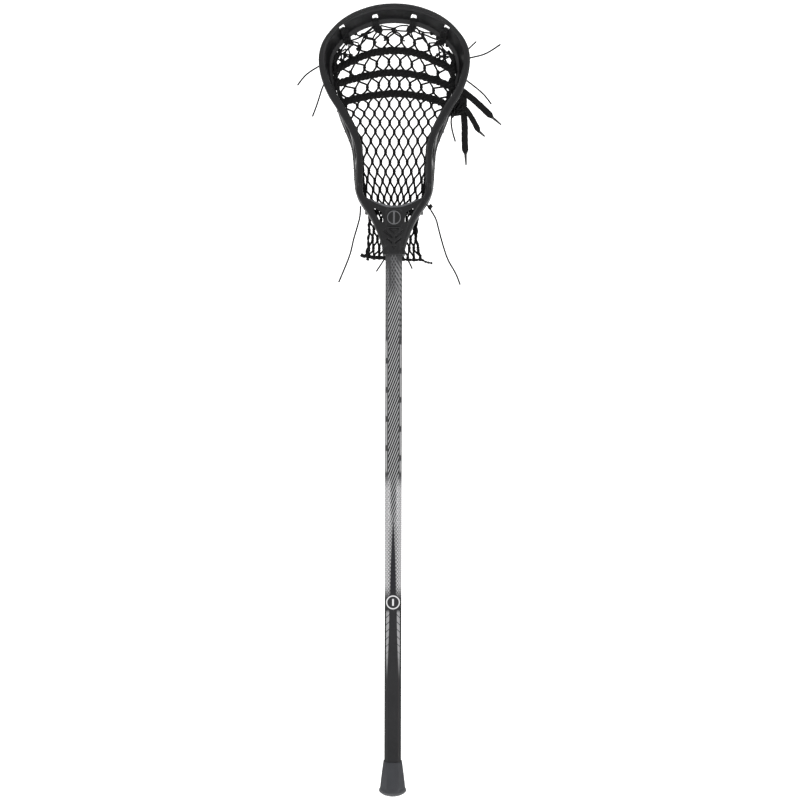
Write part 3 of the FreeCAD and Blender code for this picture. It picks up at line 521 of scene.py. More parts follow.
def moulded(cad, name, voxel, rounds, mat, body, weight=0.5):
    """A rounded, moulded-looking surface made from a CAD solid."""
    me = cad.data.copy()
    ob = bpy.data.objects.new(name, me)
    coll.objects.link(ob)
    rm = ob.modifiers.new("remesh", "REMESH")
    rm.mode = "VOXEL"
    rm.voxel_size = voxel
    sm = ob.modifiers.new("smooth", "SMOOTH")
    sm.factor = weight
    sm.iterations = rounds
    dg = bpy.context.evaluated_depsgraph_get()
    dg.update()
    done = bpy.data.meshes.new_from_object(ob.evaluated_get(dg))
    ob.modifiers.clear()
    ob.data = done
    for poly in done.polygons:
        poly.use_smooth = True
    done.materials.clear()
    done.materials.append(mat)
    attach(ob, body)
    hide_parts(cad.name)
    return ob


# ------------------------------------------------------------------ free cords
def cord_curve(name, pts, dia, mat, replaces, **facts):
    cu = bpy.data.curves.new(name, "CURVE")
    cu.dimensions = "3D"
    cu.bevel_depth = dia / 2 * MM
    cu.bevel_resolution = 4
    cu.resolution_u = 16
    cu.use_fill_caps = True
    sp = cu.splines.new("NURBS")
    sp.points.add(len(pts) - 1)
    for q, p in zip(sp.points, pts):
        q.co = (p[0] * MM, p[1] * MM, p[2] * MM, 1.0)
    sp.order_u = 3
    sp.use_endpoint_u = True
    ob = bpy.data.objects.new(name, cu)
    coll.objects.link(ob)
    cu.materials.append(mat)
    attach(ob, "stick")
    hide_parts(replaces)
    [c * MM for c in pts[0]]
    return ob


STRING = 2.2
ROUTES = {
    "string_end_left_upper": ([(-90.4, 33.4, 966.4), (-101.0, 34.6, 960.4), (-112.0, 35.4, 954.0),
                               (-121.6, 35.6, 945.8), (-128.4, 35.0, 935.6)], 0.049, "stiff"),
    "string_end_left_lower": ([(-89.4, 36.0, 945.6), (-95.0, 37.4, 935.0), (-99.2, 38.2, 921.8),
                               (-103.4, 38.2, 908.0), (-108.6, 37.2, 894.6)], 0.054, "stiff"),
    "string_end_right_upper": ([(90.4, 33.4, 970.0), (103.6, 34.6, 973.4), (117.6, 35.2, 976.6),
                                (129.6, 35.2, 982.8), (140.6, 34.4, 990.6)], 0.055, "stiff"),
    "string_end_right_middle": ([(89.2, 35.4, 947.4), (101.4, 36.8, 938.8), (113.0, 37.6, 929.8),
                                 (121.8, 37.6, 921.4), (128.6, 37.0, 911.6)], 0.0535, "stiff"),
    "string_end_right_lower": ([(76.8, 38.8, 899.2), (75.2, 41.4, 890.6), (76.2, 42.2, 881.0),
                                (78.4, 42.2, 871.2), (81.2, 41.8, 862.4)], 0.038, "stiff"),
    "throat_string_end_left": ([(-44.5, 25.6, 775.2), (-44.2, 27.0, 763.6), (-48.8, 27.6, 746.6),
                                (-53.6, 27.2, 731.0), (-56.8, 27.8, 715.0), (-61.0, 27.2, 703.0),
                                (-67.4, 27.6, 687.4), (-73.0, 27.0, 674.2)], 0.105, "medium"),
    "throat_string_end_right": ([(48.6, 26.4, 769.6), (55.2, 27.4, 760.4), (58.6, 27.6, 746.4),
                                 (62.6, 27.2, 731.0), (67.4, 27.8, 715.0), (72.0, 27.2, 702.6),
                                 (79.0, 27.6, 691.4), (84.2, 27.6, 681.4), (87.6, 27.0, 671.4)], 0.106, "medium"),
}
for nm, (pts, length, stiff) in ROUTES.items():
    cord_curve(nm + "_cord", pts, STRING, M_STRING, nm, length=length, far_end="bare",
               stiffness=stiff, lay="hanging")

# flat lace tails: a woven band along the route's own smooth line
LACES = {
    "lace_tail_side": ([(86.0, 45.6, 933.6), (96.0, 45.6, 926.4), (112.6, 45.6, 912.6), (129.0, 45.6, 896.4)],
                       8.8, 0.0568, "lace_tip_side"),
    "lace_tail_middle": ([(84.0, 48.6, 916.4), (94.0, 48.6, 908.6), (104.8, 48.6, 892.4), (112.2, 48.6, 877.6)],
                         7.5, 0.0480, "lace_tip_middle"),
    "lace_tail_down": ([(91.8, 51.4, 906.0), (94.2, 51.4, 887.0), (93.6, 51.4, 866.0), (94.8, 51.4, 849.0)],
                       8.8, 0.0568, "lace_tip_down"),
}


def nurbs_line(pts, count):
    """Points read from the NURBS spline that has pts as its control points."""
    cu = bpy.data.curves.new("line", "CURVE")
    cu.dimensions = "3D"
    cu.resolution_u = count
    sp = cu.splines.new("NURBS")
    sp.points.add(len(pts) - 1)
    for q, p in zip(sp.points, pts):
        q.co = (p[0], p[1], p[2], 1.0)
    sp.order_u = 3
    sp.use_endpoint_u = True
    ob = bpy.data.objects.new("line", cu)
    coll.objects.link(ob)
    bpy.context.view_layer.update()
    me = bpy.data.meshes.new_from_object(ob.evaluated_get(bpy.context.evaluated_depsgraph_get()))
    line = [v.co.copy() for v in me.vertices]
    bpy.data.objects.remove(ob)
    bpy.data.meshes.remove(me)
    return line


for nm, (pts, width, length, tip_node) in LACES.items():
    line = nurbs_line(pts, 14)
    n = len(line)
    # the band keeps its width, then draws in to the sealed tip
    along = (line[-1] - line[-2]).normalized()
    body = list(line) + [line[-1] + along * q for q in (0.9, 1.8, 2.6)]
    rad = []
    for i in range(len(body)):
        left = sum((body[j + 1] - body[j]).length for j in range(i, len(body) - 1))
        soft = 1.0 + 0.025 * math.sin(i * 0.9) + 0.02 * math.sin(i * 2.3)
        rad.append(soft * min(1.0, 0.36 + 0.64 * max(0.0, left - 0.6) / 4.2))
    tb = Tubes()
    tb.add(body, rad, sides=20, flat=(width, 2.7), up=(0, 1, 0))
    # raised woven edges
    for sg in (-1, 1):
        edge = []
        for i, q in enumerate(body):
            t = (body[min(i + 1, len(body) - 1)] - body[max(i - 1, 0)]).normalized()
            sd_ = t.cross(Vector((0, 1, 0))).normalized()
            edge.append(q + sd_ * (sg * (width / 2 - 0.75) * rad[i]) + Vector((0, -0.75 * min(1.0, rad[i]), 0)))
        tb.add(edge, 0.62, sides=7)
    band_ob = tb.make(nm + "_band", M_LACE)
    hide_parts(nm)
    tip_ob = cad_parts[tip_node]
    set_mat(tip_ob, M_TIP)
    [c * MM for c in pts[0]]
    [[c * MM for c in p] for p in line]

# ------------------------------------------------------------------ head, cap, pad, screw, badge
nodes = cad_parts
head = moulded(nodes["head_frame"], "head_moulding", 0.00065, 4, M_NYLON, "stick")
cap = moulded(nodes["butt_cap"], "butt_cap_moulding", 0.0005, 6, M_RUBBER, "cap")
pad = moulded(nodes["ball_stop_pad"], "ball_stop_foam", 0.0005, 5, M_FOAM_PAINTED_HIGHLIGHT, "stick")
set_mat(nodes["shaft"], M_SHAFT)
set_mat(nodes["head_screw"], M_STEEL)
set_mat(nodes["throat_badge"], M_BADGE)

# ------------------------------------------------------------------ net
MESH_HALF = [(776, 31.0), (785, 34.5), (799, 37.2), (812, 37.6), (826, 37.4), (839, 37.6), (852, 38.8), (865, 43.0),
             (877, 48.6), (890, 55.0), (902, 61.2), (914, 67.0), (927, 72.0), (939, 75.0), (952, 76.4),
             (966, 76.6), (985, 75.5), (1008, 73.0)]
EDGE_Y = [(776, 37.0), (800, 35.4), (826, 34.0), (850, 35.2), (880, 37.0), (915, 37.8), (940, 37.2), (965, 35.2),
          (985, 31.5), (1008, 25.5)]
BULGE = [(776, 3.0), (795, 9.0), (820, 19.0), (850, 27.5), (880, 29.5), (910, 25.0), (945, 16.0), (980, 7.5),
         (1008, 1.5)]


def string_at(name, axis, at, want):
    """How far out or up a CAD string lies, in mm, beside a given place along it."""
    reach = 4.0
    while reach < 80.0:
        got = [abs(v.co[want]) / MM for v in nodes[name].data.vertices if abs(v.co[axis] / MM - at) < reach]
        if got:
            return sum(got) / len(got)
        reach *= 1.5
    raise ValueError("no surface of %s near %s" % (name, at))


# the net's edge is tied to the throat string's ends, the sidewall strings and the ends of the top string
throat_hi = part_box("throat_string")[1] / MM
TIED_HALF = [(throat_hi.z - 1.0, throat_hi.x)]
TIED_HALF += [(z, string_at("sidewall_string_right", 2, z, 0))
              for z in (802.0, 812.0, 826.0, 839.0, 852.0, 865.0, 877.0, 890.0, 902.0, 914.0, 927.0, 939.0, 952.0, 966.0)]
TIED_HALF += [(string_at("top_string", 0, x, 2), x) for x in (66.0, 56.0, 46.0, 36.0)]


def half_width(z):
    return interp(TIED_HALF, z)


def pocket_y(x, z):
    q = min(1.0, abs(x) / interp(MESH_HALF, z))
    return interp(EDGE_Y, z) + interp(BULGE, z) * (1 - q ** 2.3)


rng = np.random.RandomState(7)
# height of each row of knots, half the pitch between columns, droop and spread at the edges
ROWS = [(1006.8, 9.12, 21, .10), (995.7, 8.88, 19, .12), (982.1, 8.23, 17, .13), (968.4, 7.72, 15, .15),
        (954.5, 7.33, 12, .17), (940.5, 6.87, 9.5, .18), (927.6, 6.95, 7, .12), (914.8, 6.89, 4, .05),
        (902.3, 6.69, 2, .02), (889.8, 6.50, .6, 0), (877.5, 6.30, 0, 0), (864.3, 6.29, 0, 0), (850.0, 6.02, 0, 0),
        (836.1, 5.88, 0, 0), (823.0, 5.60, 0, 0), (810.6, 5.13, 0, 0), (798.2, 4.66, 0, 0), (787.3, 4.32, 0, 0),
        (777.1, 3.72, 0, 0), (767.5, 3.45, 0, 0)]


def grid_node(r, c):
    """Place of the knot in row r, column c; columns beyond the edge gather on it."""
    z0, hp, droop, spread = ROWS[r]
    q = c / 8.0
    x = c * hp * (1 + spread * q * q * 0.64)
    z = z0 - droop * 1.33 * q * q
    w = half_width(min(max(z, 776), 1008)) - 0.9
    edge = False
    if abs(x) > w:
        x = math.copysign(w, x)
        edge = True
    jit = rng_table[r % 32, (c + 40) % 64]
    x += jit[0] * (0.0 if edge else 0.35)
    z += jit[1] * 0.45
    return Vector((x, pocket_y(x, z), z)), edge


rng_table = rng.uniform(-1, 1, (32, 64, 2))
net = Tubes()
R_STRAND = 1.33
KNOT = 2.6
exists = {}


def knot_half(r):
    """Half the height of a row's knots: long wrapped crossings in the upper rows, short ones below."""
    return KNOT * (1.45 if r in (1, 2, 3, 4, 5) else 0.8 if r > 14 else 1.0)


for r in range(len(ROWS)):
    z0, hp, droop, spread = ROWS[r]
    for c in range(-14, 15):
        if (r + c) % 2:
            continue
        p, edge = grid_node(r, c)
        if edge:
            # keep only the first column that reaches the edge
            inner, inner_edge = grid_node(r, c - int(math.copysign(2, c)))
            if inner_edge:
                continue
        exists[(r, c)] = (p, edge)

for (r, c), (p, edge) in exists.items():
    # the knot: two strands half a turn round each other
    k = knot_half(r)
    for sgn in (-1, 1):
        pts = []
        steps = 6 + int(k)
        for j in range(steps + 1):
            t = j / float(steps)
            a = math.pi * t * (1.0 + 0.25 * k)
            pts.append(p + Vector((sgn * math.cos(a) * 0.95, sgn * math.sin(a) * 0.95, -k + 2 * k * t)))
        net.add(pts, R_STRAND * (1.08 if r > 5 else 1.16), sides=7)
for (r, c), (p, edge) in exists.items():
    if r == 0:
        continue
    for dc in (-1, 1):
        q = exists.get((r - 1, c + dc))
        if q is None:
            # where the knot above is missing, an outward strand from an inner knot runs to the net's edge at the row
            # above's height; other missing links are left out
            q = exists.get((r - 1, c + dc - 2 * dc)) if (r - 1, c - dc) in exists and edge and c * dc > 0 else None
            if q is None or True:
                if c * dc > 0 and not edge:
                    z = ROWS[r - 1][0]
                    x = math.copysign(half_width(min(z, 1008)) - 0.8, c)
                    qp = Vector((x, pocket_y(x, z), z))
                else:
                    continue
        else:
            qp = q[0]
        a = p + Vector((dc * 0.7, 0, knot_half(r) * 0.85))
        b = qp + Vector((-dc * 0.7, 0, -knot_half(r - 1) * 0.85))
        if a.z > b.z - 1.0:
            a.z, b.z = p.z, qp.z
        pts = []
        span = b - a
        for j in range(8):
            t = j / 7.0
            e = t * t * (3 - 2 * t)
            e = 0.45 * t + 0.55 * e
            x = a.x + span.x * e
            z = a.z + span.z * t
            y = a.y + span.y * t - 0.0
            pts.append(Vector((x, pocket_y(x, min(max(z, 770), 1008)) if z > 778 else y, z)))
        net.add(pts, R_STRAND, sides=6)

# the net's side edges run down beside the rail in one loose cut strand
for sgn in (-1, 1):
    edge_pts = []
    for z in np.arange(784.0, 972.0, 3.0):
        w = half_width(z) - 0.6 + 0.9 * math.sin(z * 0.31 + sgn)
        edge_pts.append((sgn * w, pocket_y(w, z) + 0.5 * math.cos(z * 0.5), z))
    net.add(edge_pts, 1.0, sides=6)
net_ob = net.make("mesh_net", M_MESH)
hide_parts("mesh_pocket")

# ------------------------------------------------------------------ tail of the net
TAIL_Y = [(703, 21.6), (715, 22.6), (735, 25.6), (745, 28.0), (760, 32.6), (773, 36.0)]
tail = Tubes()
T_ROWS = [(769.0, 3.5), (756.8, 3.5), (744.4, 3.3), (731.6, 3.2), (719.4, 3.35), (707.4, 3.8)]
TAIL_LEFT = [(704, -37.0), (710, -36.0), (722, -34.4), (735, -33.4), (750, -32.8), (772, -34.0)]
TAIL_RIGHT = [(703, 38.0), (710, 34.4), (722, 31.2), (735, 29.4), (750, 29.8), (772, 32.0)]


def tail_node(r, c):
    z, hp = T_ROWS[r]
    j = rng_table[(r + 11) % 32, (c + 31) % 64]
    x = c * hp + j[0] * 0.7
    x = min(max(x, interp(TAIL_LEFT, z)), interp(TAIL_RIGHT, z))
    drop = -2.4 * max(0.0, x) / 35.0 if r == 5 else 0.0
    return Vector((x, interp(TAIL_Y, z) + 0.8 * math.cos(c * 0.9) + 0.4 * j[1], z + j[1] * 1.0 + drop))


for r in range(len(T_ROWS)):
    for c in range(-10, 11):
        if (r + c) % 2:
            continue
        p = tail_node(r, c)
        for sgn in (-1, 1):
            pts = []
            for j in range(8):
                t = j / 7.0
                a = math.pi * t * 1.8
                pts.append(p + Vector((sgn * math.cos(a) * 0.9, sgn * math.sin(a) * 0.9, -3.2 + 6.4 * t)))
            tail.add(pts, 1.42, sides=7)
        if r == 0:
            continue
        for dc in (-1, 1):
            if abs(c + dc) > 10:
                continue
            q = tail_node(r - 1, c + dc)
            a, b = p + Vector((dc * 0.5, 0, 2.6)), q + Vector((-dc * 0.5, 0, -2.6))
            pts = []
            for j in range(7):
                t = j / 6.0
                e = 0.35 * t + 0.65 * t * t * (3 - 2 * t)
                pts.append(Vector((a.x + (b.x - a.x) * e, a.y + (b.y - a.y) * t, a.z + (b.z - a.z) * t)))
            tail.add(pts, 1.38, sides=7)
# outer edges of the tail are gathered thicker
for sgn, table in ((-1, TAIL_LEFT), (1, TAIL_RIGHT)):
    pts = smooth_path([(interp(table, z) + 0.7 * math.sin(z * 0.35), interp(TAIL_Y, z) + 0.6 * math.cos(z * 0.3), z)
                       for z in range(768, 704, -5)], 2.0)
    for ph in (0, math.pi):
        tail.add(helix(pts, 1.0, 0.055, ph), 1.15, sides=7)
tail_ob = tail.make("mesh_tail_net", M_MESH)
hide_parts("mesh_tail")

hem = Tubes()
left_hem = smooth_path([(-43.3, 22.4, 710.4), (-40.0, 22.6, 708.6), (-36.0, 22.8, 709.2), (-30.0, 22.4, 707.4),
                        (-24.0, 22.2, 706.8), (-18.0, 22.2, 706.9), (-11.0, 22.6, 706.0), (1.0, 22.8, 705.4)], 1.2)
for ph in (0, 2.1, 4.2):
    hem.add(helix(left_hem, 1.45, 0.10, ph), 1.35, sides=8)
# loose ends of fibre along the cut edge
for k in range(26):
    i = int(rng.randint(2, len(left_hem) - 3))
    p = left_hem[i]
    d = Vector((rng.uniform(-0.7, 0.7), rng.uniform(-0.5, 0.3), rng.uniform(-1, 0.4)))
    hem.add([p + d * 1.0, p + d * 2.2 + Vector((0.2, 0, 0)), p + d * 3.2], [0.42, 0.36, 0.2], sides=5)
hem_l = hem.make("tail_hem_left_gather", M_MESH)
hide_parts("tail_hem_left")
hem = Tubes()
right_hem = smooth_path([(1.0, 22.9, 705.2), (9.0, 22.8, 704.6), (20.0, 22.2, 703.9), (28.0, 22.4, 703.6), (36.0, 22.8, 704.2),
                         (41.0, 22.6, 701.6), (45.0, 22.4, 700.4), (50.0, 22.6, 699.6)], 1.2)
for ph in (0, math.pi):
    hem.add(helix(right_hem, 0.95, 0.12, ph), [1.15 if i < len(right_hem) - 10 else 0.85 for i in range(len(right_hem))],
            sides=8)
for a in (0, 1, 2):
    hem.add([(49.8 + 0.6 * math.cos(b + a), 22.6 + 1.2 * math.cos(b * 1.0 + a * 2), 699.6 + 1.2 * math.sin(b + a))
             for b in np.linspace(0, 5.6, 12)], 0.7, sides=6)
hem_r = hem.make("tail_hem_right_gather", M_MESH)
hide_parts("tail_hem_right")

# ------------------------------------------------------------------ strings tied on the head
STATIONS = [
    (0.0, 1036.6, -14.0, 26.0, 4.0, -15.0, 5.5), (23.5, 1034.6, -13.8, 26.0, 4.0, -15.0, 5.5),
    (44.3, 1028.7, -13.2, 27.0, 4.2, -15.0, 5.5), (60.9, 1021.0, -12.3, 28.5, 4.5, -15.0, 5.5),
    (74.1, 1011.6, -11.2, 30.5, 5.0, -14.7, 5.5), (84.9, 1000.3, -10.0, 33.0, 5.8, -14.0, 5.8),
    (93.0, 989.0, -8.8, 35.5, 7.0, -13.3, 6.0), (97.7, 976.8, -7.6, 37.5, 8.0, -12.6, 6.0),
    (99.3, 964.5, -6.5, 39.0, 8.8, -11.8, 6.0), (98.3, 951.6, -5.5, 40.0, 9.0, -10.8, 6.2),
    (95.5, 939.3, -4.6, 41.0, 9.2, -9.5, 6.5), (91.1, 927.0, -3.8, 41.7, 9.6, -7.6, 6.8),
    (85.0, 914.6, -3.2, 42.0, 10.4, -4.6, 7.0), (77.0, 902.3, -2.8, 42.0, 10.8, -1.2, 7.5),
    (69.5, 889.9, -2.6, 41.6, 11.0, 2.0, 8.6), (62.3, 877.4, -2.8, 41.0, 10.8, 4.0, 9.2),
    (56.0, 864.9, -3.4, 40.2, 9.8, 4.9, 9.8), (51.6, 852.3, -4.6, 39.3, 8.8, 5.1, 10.1),
    (49.9, 839.0, -6.4, 38.3, 8.2, 4.9, 10.1), (49.5, 825.7, -8.8, 37.2, 8.2, 4.4, 9.8),
    (49.5, 812.4, -11.5, 36.0, 8.4, 3.6, 9.1), (49.6, 799.1, -14.0, 34.5, 8.6, 2.4, 8.2),
    (49.2, 789.8, -15.4, 32.8, 8.6, 0.8, 7.0)]


def station_frame(k):
    a, b = STATIONS[max(k - 1, 0)], STATIONS[min(k + 1, len(STATIONS) - 1)]
    dx, dz = b[0] - a[0], b[1] - a[1]
    if k == 0:
        return 0.0, 1.0
    length = math.hypot(dx, dz)
    return -dz / length, dx / length


def rail_point(k, n, y, sgn=1):
    nx, nz = station_frame(k)
    return Vector((sgn * (STATIONS[k][0] + nx * n), y, STATIONS[k][1] + nz * n))


def knot(tb, at, axis, ring, wire, turns=2.5, length=3.0, sides=7):
    """A small wrapped knot: a string wound round a point."""
    axis = Vector(axis).normalized()
    s1 = axis.cross(Vector((0.3, 1, 0.2))).normalized()
    s2 = axis.cross(s1)
    pts = []
    n = int(turns * 12)
    for i in range(n + 1):
        a = 2 * math.pi * turns * i / n
        pts.append(Vector(at) + s1 * (math.cos(a) * ring) + s2 * (math.sin(a) * ring)
                   + axis * (length * (i / n - 0.5)))
    tb.add(pts, wire, sides=sides)


for sgn, name, node_name in ((1, "sidewall_string_right_lacing", "sidewall_string_right"),
                             (-1, "sidewall_string_left_lacing", "sidewall_string_left")):
    tb = Tubes()
    line = []
    for k in range(21, 5, -1):
        x, z, yf, yb, wf, off, wb = STATIONS[k]
        line.append(rail_point(k, off - wb - 2.0, yb - 5.0, sgn))
    run = smooth_path(line, 1.6)
    tb.add(helix(run, 0.75, 0.06, 0.3), 1.1, sides=7)
    tb.add(helix(run, 0.75, 0.06, 0.3 + math.pi), 1.1, sides=7)
    for k in [21, 20, 19, 18, 17, 16, 15, 14, 13, 12, 11, 10, 9, 7]:
        x, z, yf, yb, wf, off, wb = STATIONS[k]
        jit = rng_table[k, 5]
        ring = [(off - 0.7, yb - 4.6), (off - 0.6, yb - 2.4), (off - 1.2, yb + 0.6), (off - wb / 2, yb + 1.2),
                (off - wb + 1.0, yb + 0.9), (off - wb - 0.9, yb - 1.6), (off - wb - 1.2, yb - 4.4),
                (off - wb / 2, yb - 4.6)]
        for shift in ((-1.2, 1.2) if k in (20, 18, 15, 13, 11, 9) else (0.0,)):
            pts = []
            for i, (n, y) in enumerate(ring):
                p = rail_point(k, n, y, sgn)
                p.z += shift * (1.0 if i < 6 else 0.3) + jit[0] * 0.5
                pts.append(p)
            loop = smooth_path(pts + [pts[0]], 1.2)[:-1]
            tb.add(loop, 1.05, sides=7, closed=True)
        # knot where the loop meets the net
        at = rail_point(k, off - wb - 2.0, yb - 4.0, sgn)
        knot(tb, at, (0.15 * sgn, -0.3, 1), 1.5, 1.05, 2.0, 3.4)
        # gathered strands from the knot to the net's edge
        for dz in (-4.2, 4.2):
            z2 = at.z + dz
            w2 = half_width(min(max(z2, 779), 1000)) - 0.5
            tb.add([at, (at + Vector((sgn * w2, pocket_y(w2, z2), z2))) / 2 + Vector((-sgn * 0.6, 0, 0)),
                    Vector((sgn * (w2 - 1.5), pocket_y(w2 - 1.5, z2), z2))], 0.85, sides=6)
    ob = tb.make(name, M_STRING)
    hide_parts(node_name)

# bottom string under the net, behind the ball stop
tb = Tubes()
bottom = smooth_path([(-39.0, 32.4, 781.4), (-30.0, 34.6, 778.6), (-16.0, 37.2, 776.4), (0.0, 38.4, 775.6),
                      (16.0, 37.2, 776.4), (30.0, 34.6, 778.6), (39.0, 32.4, 781.4)], 1.4)
tb.add(helix(bottom, 0.7, 0.09, 0), 1.0, sides=7)
tb.add(helix(bottom, 0.7, 0.09, math.pi), 1.0, sides=7)
for x in (-26.0, -13.0, 0.0, 13.0, 26.0):
    knot(tb, (x, 37.4 - abs(x) * 0.09, 776.6 + abs(x) * 0.06), (1, 0, 0.1), 1.5, 0.8, 2.0, 2.4)
ob = tb.make("throat_string_lacing", M_STRING)
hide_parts("throat_string")

# top string: strands along the top of the net, four bundles up through the scoop
TOP_STRANDS = [
    ([(-18.5, 1013.9), (-6.6, 1011.1), (-0.5, 1010.3), (8.0, 1013.6), (18.4, 1013.7)], 1.1),
    ([(-19.9, 1008.1), (-10.2, 1008.3), (-0.5, 1007.9), (8.0, 1006.9), (18.9, 1006.6)], 1.2),
    ([(-20.5, 1005.7), (-15.1, 1001.4), (-11.7, 998.4)], 1.1),
    ([(19.5, 1005.1), (12.2, 1000.2), (9.7, 997.2)], 1.1),
    ([(-1.1, 1006.9), (-7.8, 1003.2), (-11.2, 999.0), (-12.1, 994.8), (-14.3, 995.7)], 1.1),
    ([(0.1, 1006.9), (7.4, 1002.6), (9.9, 998.4), (10.9, 995.0), (13.8, 994.8)], 1.1),
    ([(-27.7, 1012.4), (-34.5, 1006.9), (-41.8, 1002.3), (-46.6, 1000.6), (-51.5, 1002.3), (-56.6, 1002.3)], 1.15),
    ([(-26.0, 1007.5), (-32.1, 1004.5), (-39.3, 1001.8), (-49.0, 997.2), (-56.3, 994.8), (-61.8, 993.3)], 1.2),
    ([(-28.7, 1010.5), (-35.4, 1004.5), (-40.5, 999.0), (-43.6, 992.3), (-46.1, 987.5)], 1.1),
    ([(-40.5, 998.4), (-34.5, 998.4), (-28.7, 997.5)], 1.1),
    ([(-22.3, 1005.9), (-27.0, 1000.8), (-28.2, 996.0), (-25.7, 991.7)], 1.15),
    ([(-60.6, 992.8), (-52.7, 992.6), (-47.2, 991.1)], 1.1),
    ([(-60.6, 990.1), (-52.7, 988.9), (-46.4, 987.2)], 1.1),
    ([(-66.5, 995.7), (-73.3, 986.3), (-81.6, 976.8)], 1.1),
    ([(-63.4, 992.3), (-69.1, 983.8), (-76.2, 977.5)], 1.1),
    ([(-60.2, 991.1), (-60.5, 982.6), (-58.3, 975.3)], 1.1),
    ([(-66.0, 988.7), (-70.9, 981.4), (-70.3, 974.1), (-71.4, 967.6)], 1.1),
    ([(-81.6, 976.8), (-70.9, 980.2), (-64.1, 984.1)], 1.1),
    ([(-77.4, 975.9), (-67.2, 977.8), (-57.1, 975.3)], 1.1),
    ([(-83.0, 972.9), (-72.1, 969.3), (-63.4, 968.1)], 1.1),
    ([(-82.5, 965.1), (-74.5, 972.9), (-69.2, 978.0)], 1.1),
    ([(-81.6, 956.6), (-73.3, 963.2), (-68.0, 968.3)], 1.2),
    ([(-84.0, 962.0), (-83.5, 968.1), (-81.6, 975.3)], 1.3),
    ([(26.2, 1012.4), (32.3, 1007.9), (39.6, 1004.7), (48.1, 1004.1), (56.1, 1000.6)], 1.15),
    ([(24.4, 1007.9), (33.5, 1003.2), (42.0, 1001.4), (50.5, 997.8), (60.2, 995.0)], 1.2),
    ([(29.6, 1010.8), (34.2, 1003.2), (39.6, 998.4), (43.2, 992.3), (44.7, 987.5)], 1.1),
    ([(30.1, 998.2), (35.9, 998.4), (39.8, 998.2)], 1.1),
    ([(21.6, 1004.5), (24.4, 998.4), (26.7, 992.3)], 1.15),
    ([(45.6, 991.7), (52.9, 991.8), (61.4, 992.1)], 1.1),
    ([(45.6, 987.5), (52.9, 988.2), (61.4, 989.4)], 1.1),
    ([(65.7, 995.0), (71.1, 989.9), (74.8, 985.7), (82.8, 975.1)], 1.1),
    ([(68.1, 995.4), (74.8, 989.3), (79.9, 980.2)], 1.1),
    ([(60.8, 988.7), (66.3, 982.6), (74.5, 975.1)], 1.1),
    ([(57.2, 989.9), (59.5, 980.2), (60.2, 969.0)], 1.1),
    ([(60.9, 975.3), (68.7, 974.7), (84.0, 972.9)], 1.1),
    ([(74.1, 974.7), (79.6, 969.3), (85.2, 965.4)], 1.1),
    ([(62.1, 984.1), (72.3, 977.8), (82.5, 974.4)], 1.1),
    ([(54.1, 974.7), (57.3, 977.8), (62.6, 980.2)], 1.1),
    ([(62.6, 969.3), (71.1, 972.9), (77.2, 975.3)], 1.1),
    ([(74.3, 963.2), (78.4, 968.1), (84.5, 970.5)], 1.2),
    ([(83.2, 975.3), (86.9, 970.5), (88.3, 963.2)], 1.3),
]
TOP_KNOTS = [
    (-73.3, 981.2), (-76.7, 976.3), (-70.3, 969.3), (-57.8, 975.9), (-82.1, 971.5), (-83.5, 967.3), (-48.4, 983.8),
    (-26.0, 992.1), (-41.8, 1001.8), (-51.7, 1003.0), (-12.1, 997.4), (10.2, 997.2), (26.9, 992.1), (37.1, 1002.3),
    (69.9, 988.4), (57.2, 998.2), (57.0, 976.3), (66.3, 971.5), (76.6, 965.4), (84.0, 967.8), (74.3, 974.6),
    (45.6, 988.7), (49.3, 1003.5), (-0.5, 1008.6), (-46.6, 987.5), (80.2, 971.7), (-78.2, 968.1),
]
tb = Tubes()
for pts, rad in TOP_STRANDS:
    n = len(pts)
    path = []
    for i, (x, z) in enumerate(pts):
        wob = rng_table[(i * 5 + n) % 32, int(abs(x)) % 64]
        if z < 983.0:
            lim = half_width(min(z, 966.0)) + 2.0
            x = max(-lim, min(lim, x))
        path.append((x, pocket_y(x, min(z, 1008)) - 0.6 + 1.3 * wob[0], z))
    tb.add(smooth_path(path, 1.5), rad, sides=7)
for i, (x, z) in enumerate(TOP_KNOTS):
    wob = rng_table[i % 32, 17]
    knot(tb, (x, pocket_y(x, min(z, 1008)) - 0.6, z), (1.0, 0.3 * wob[0], 0.8 * wob[1]), 1.55, 1.1, 2.2, 3.4)
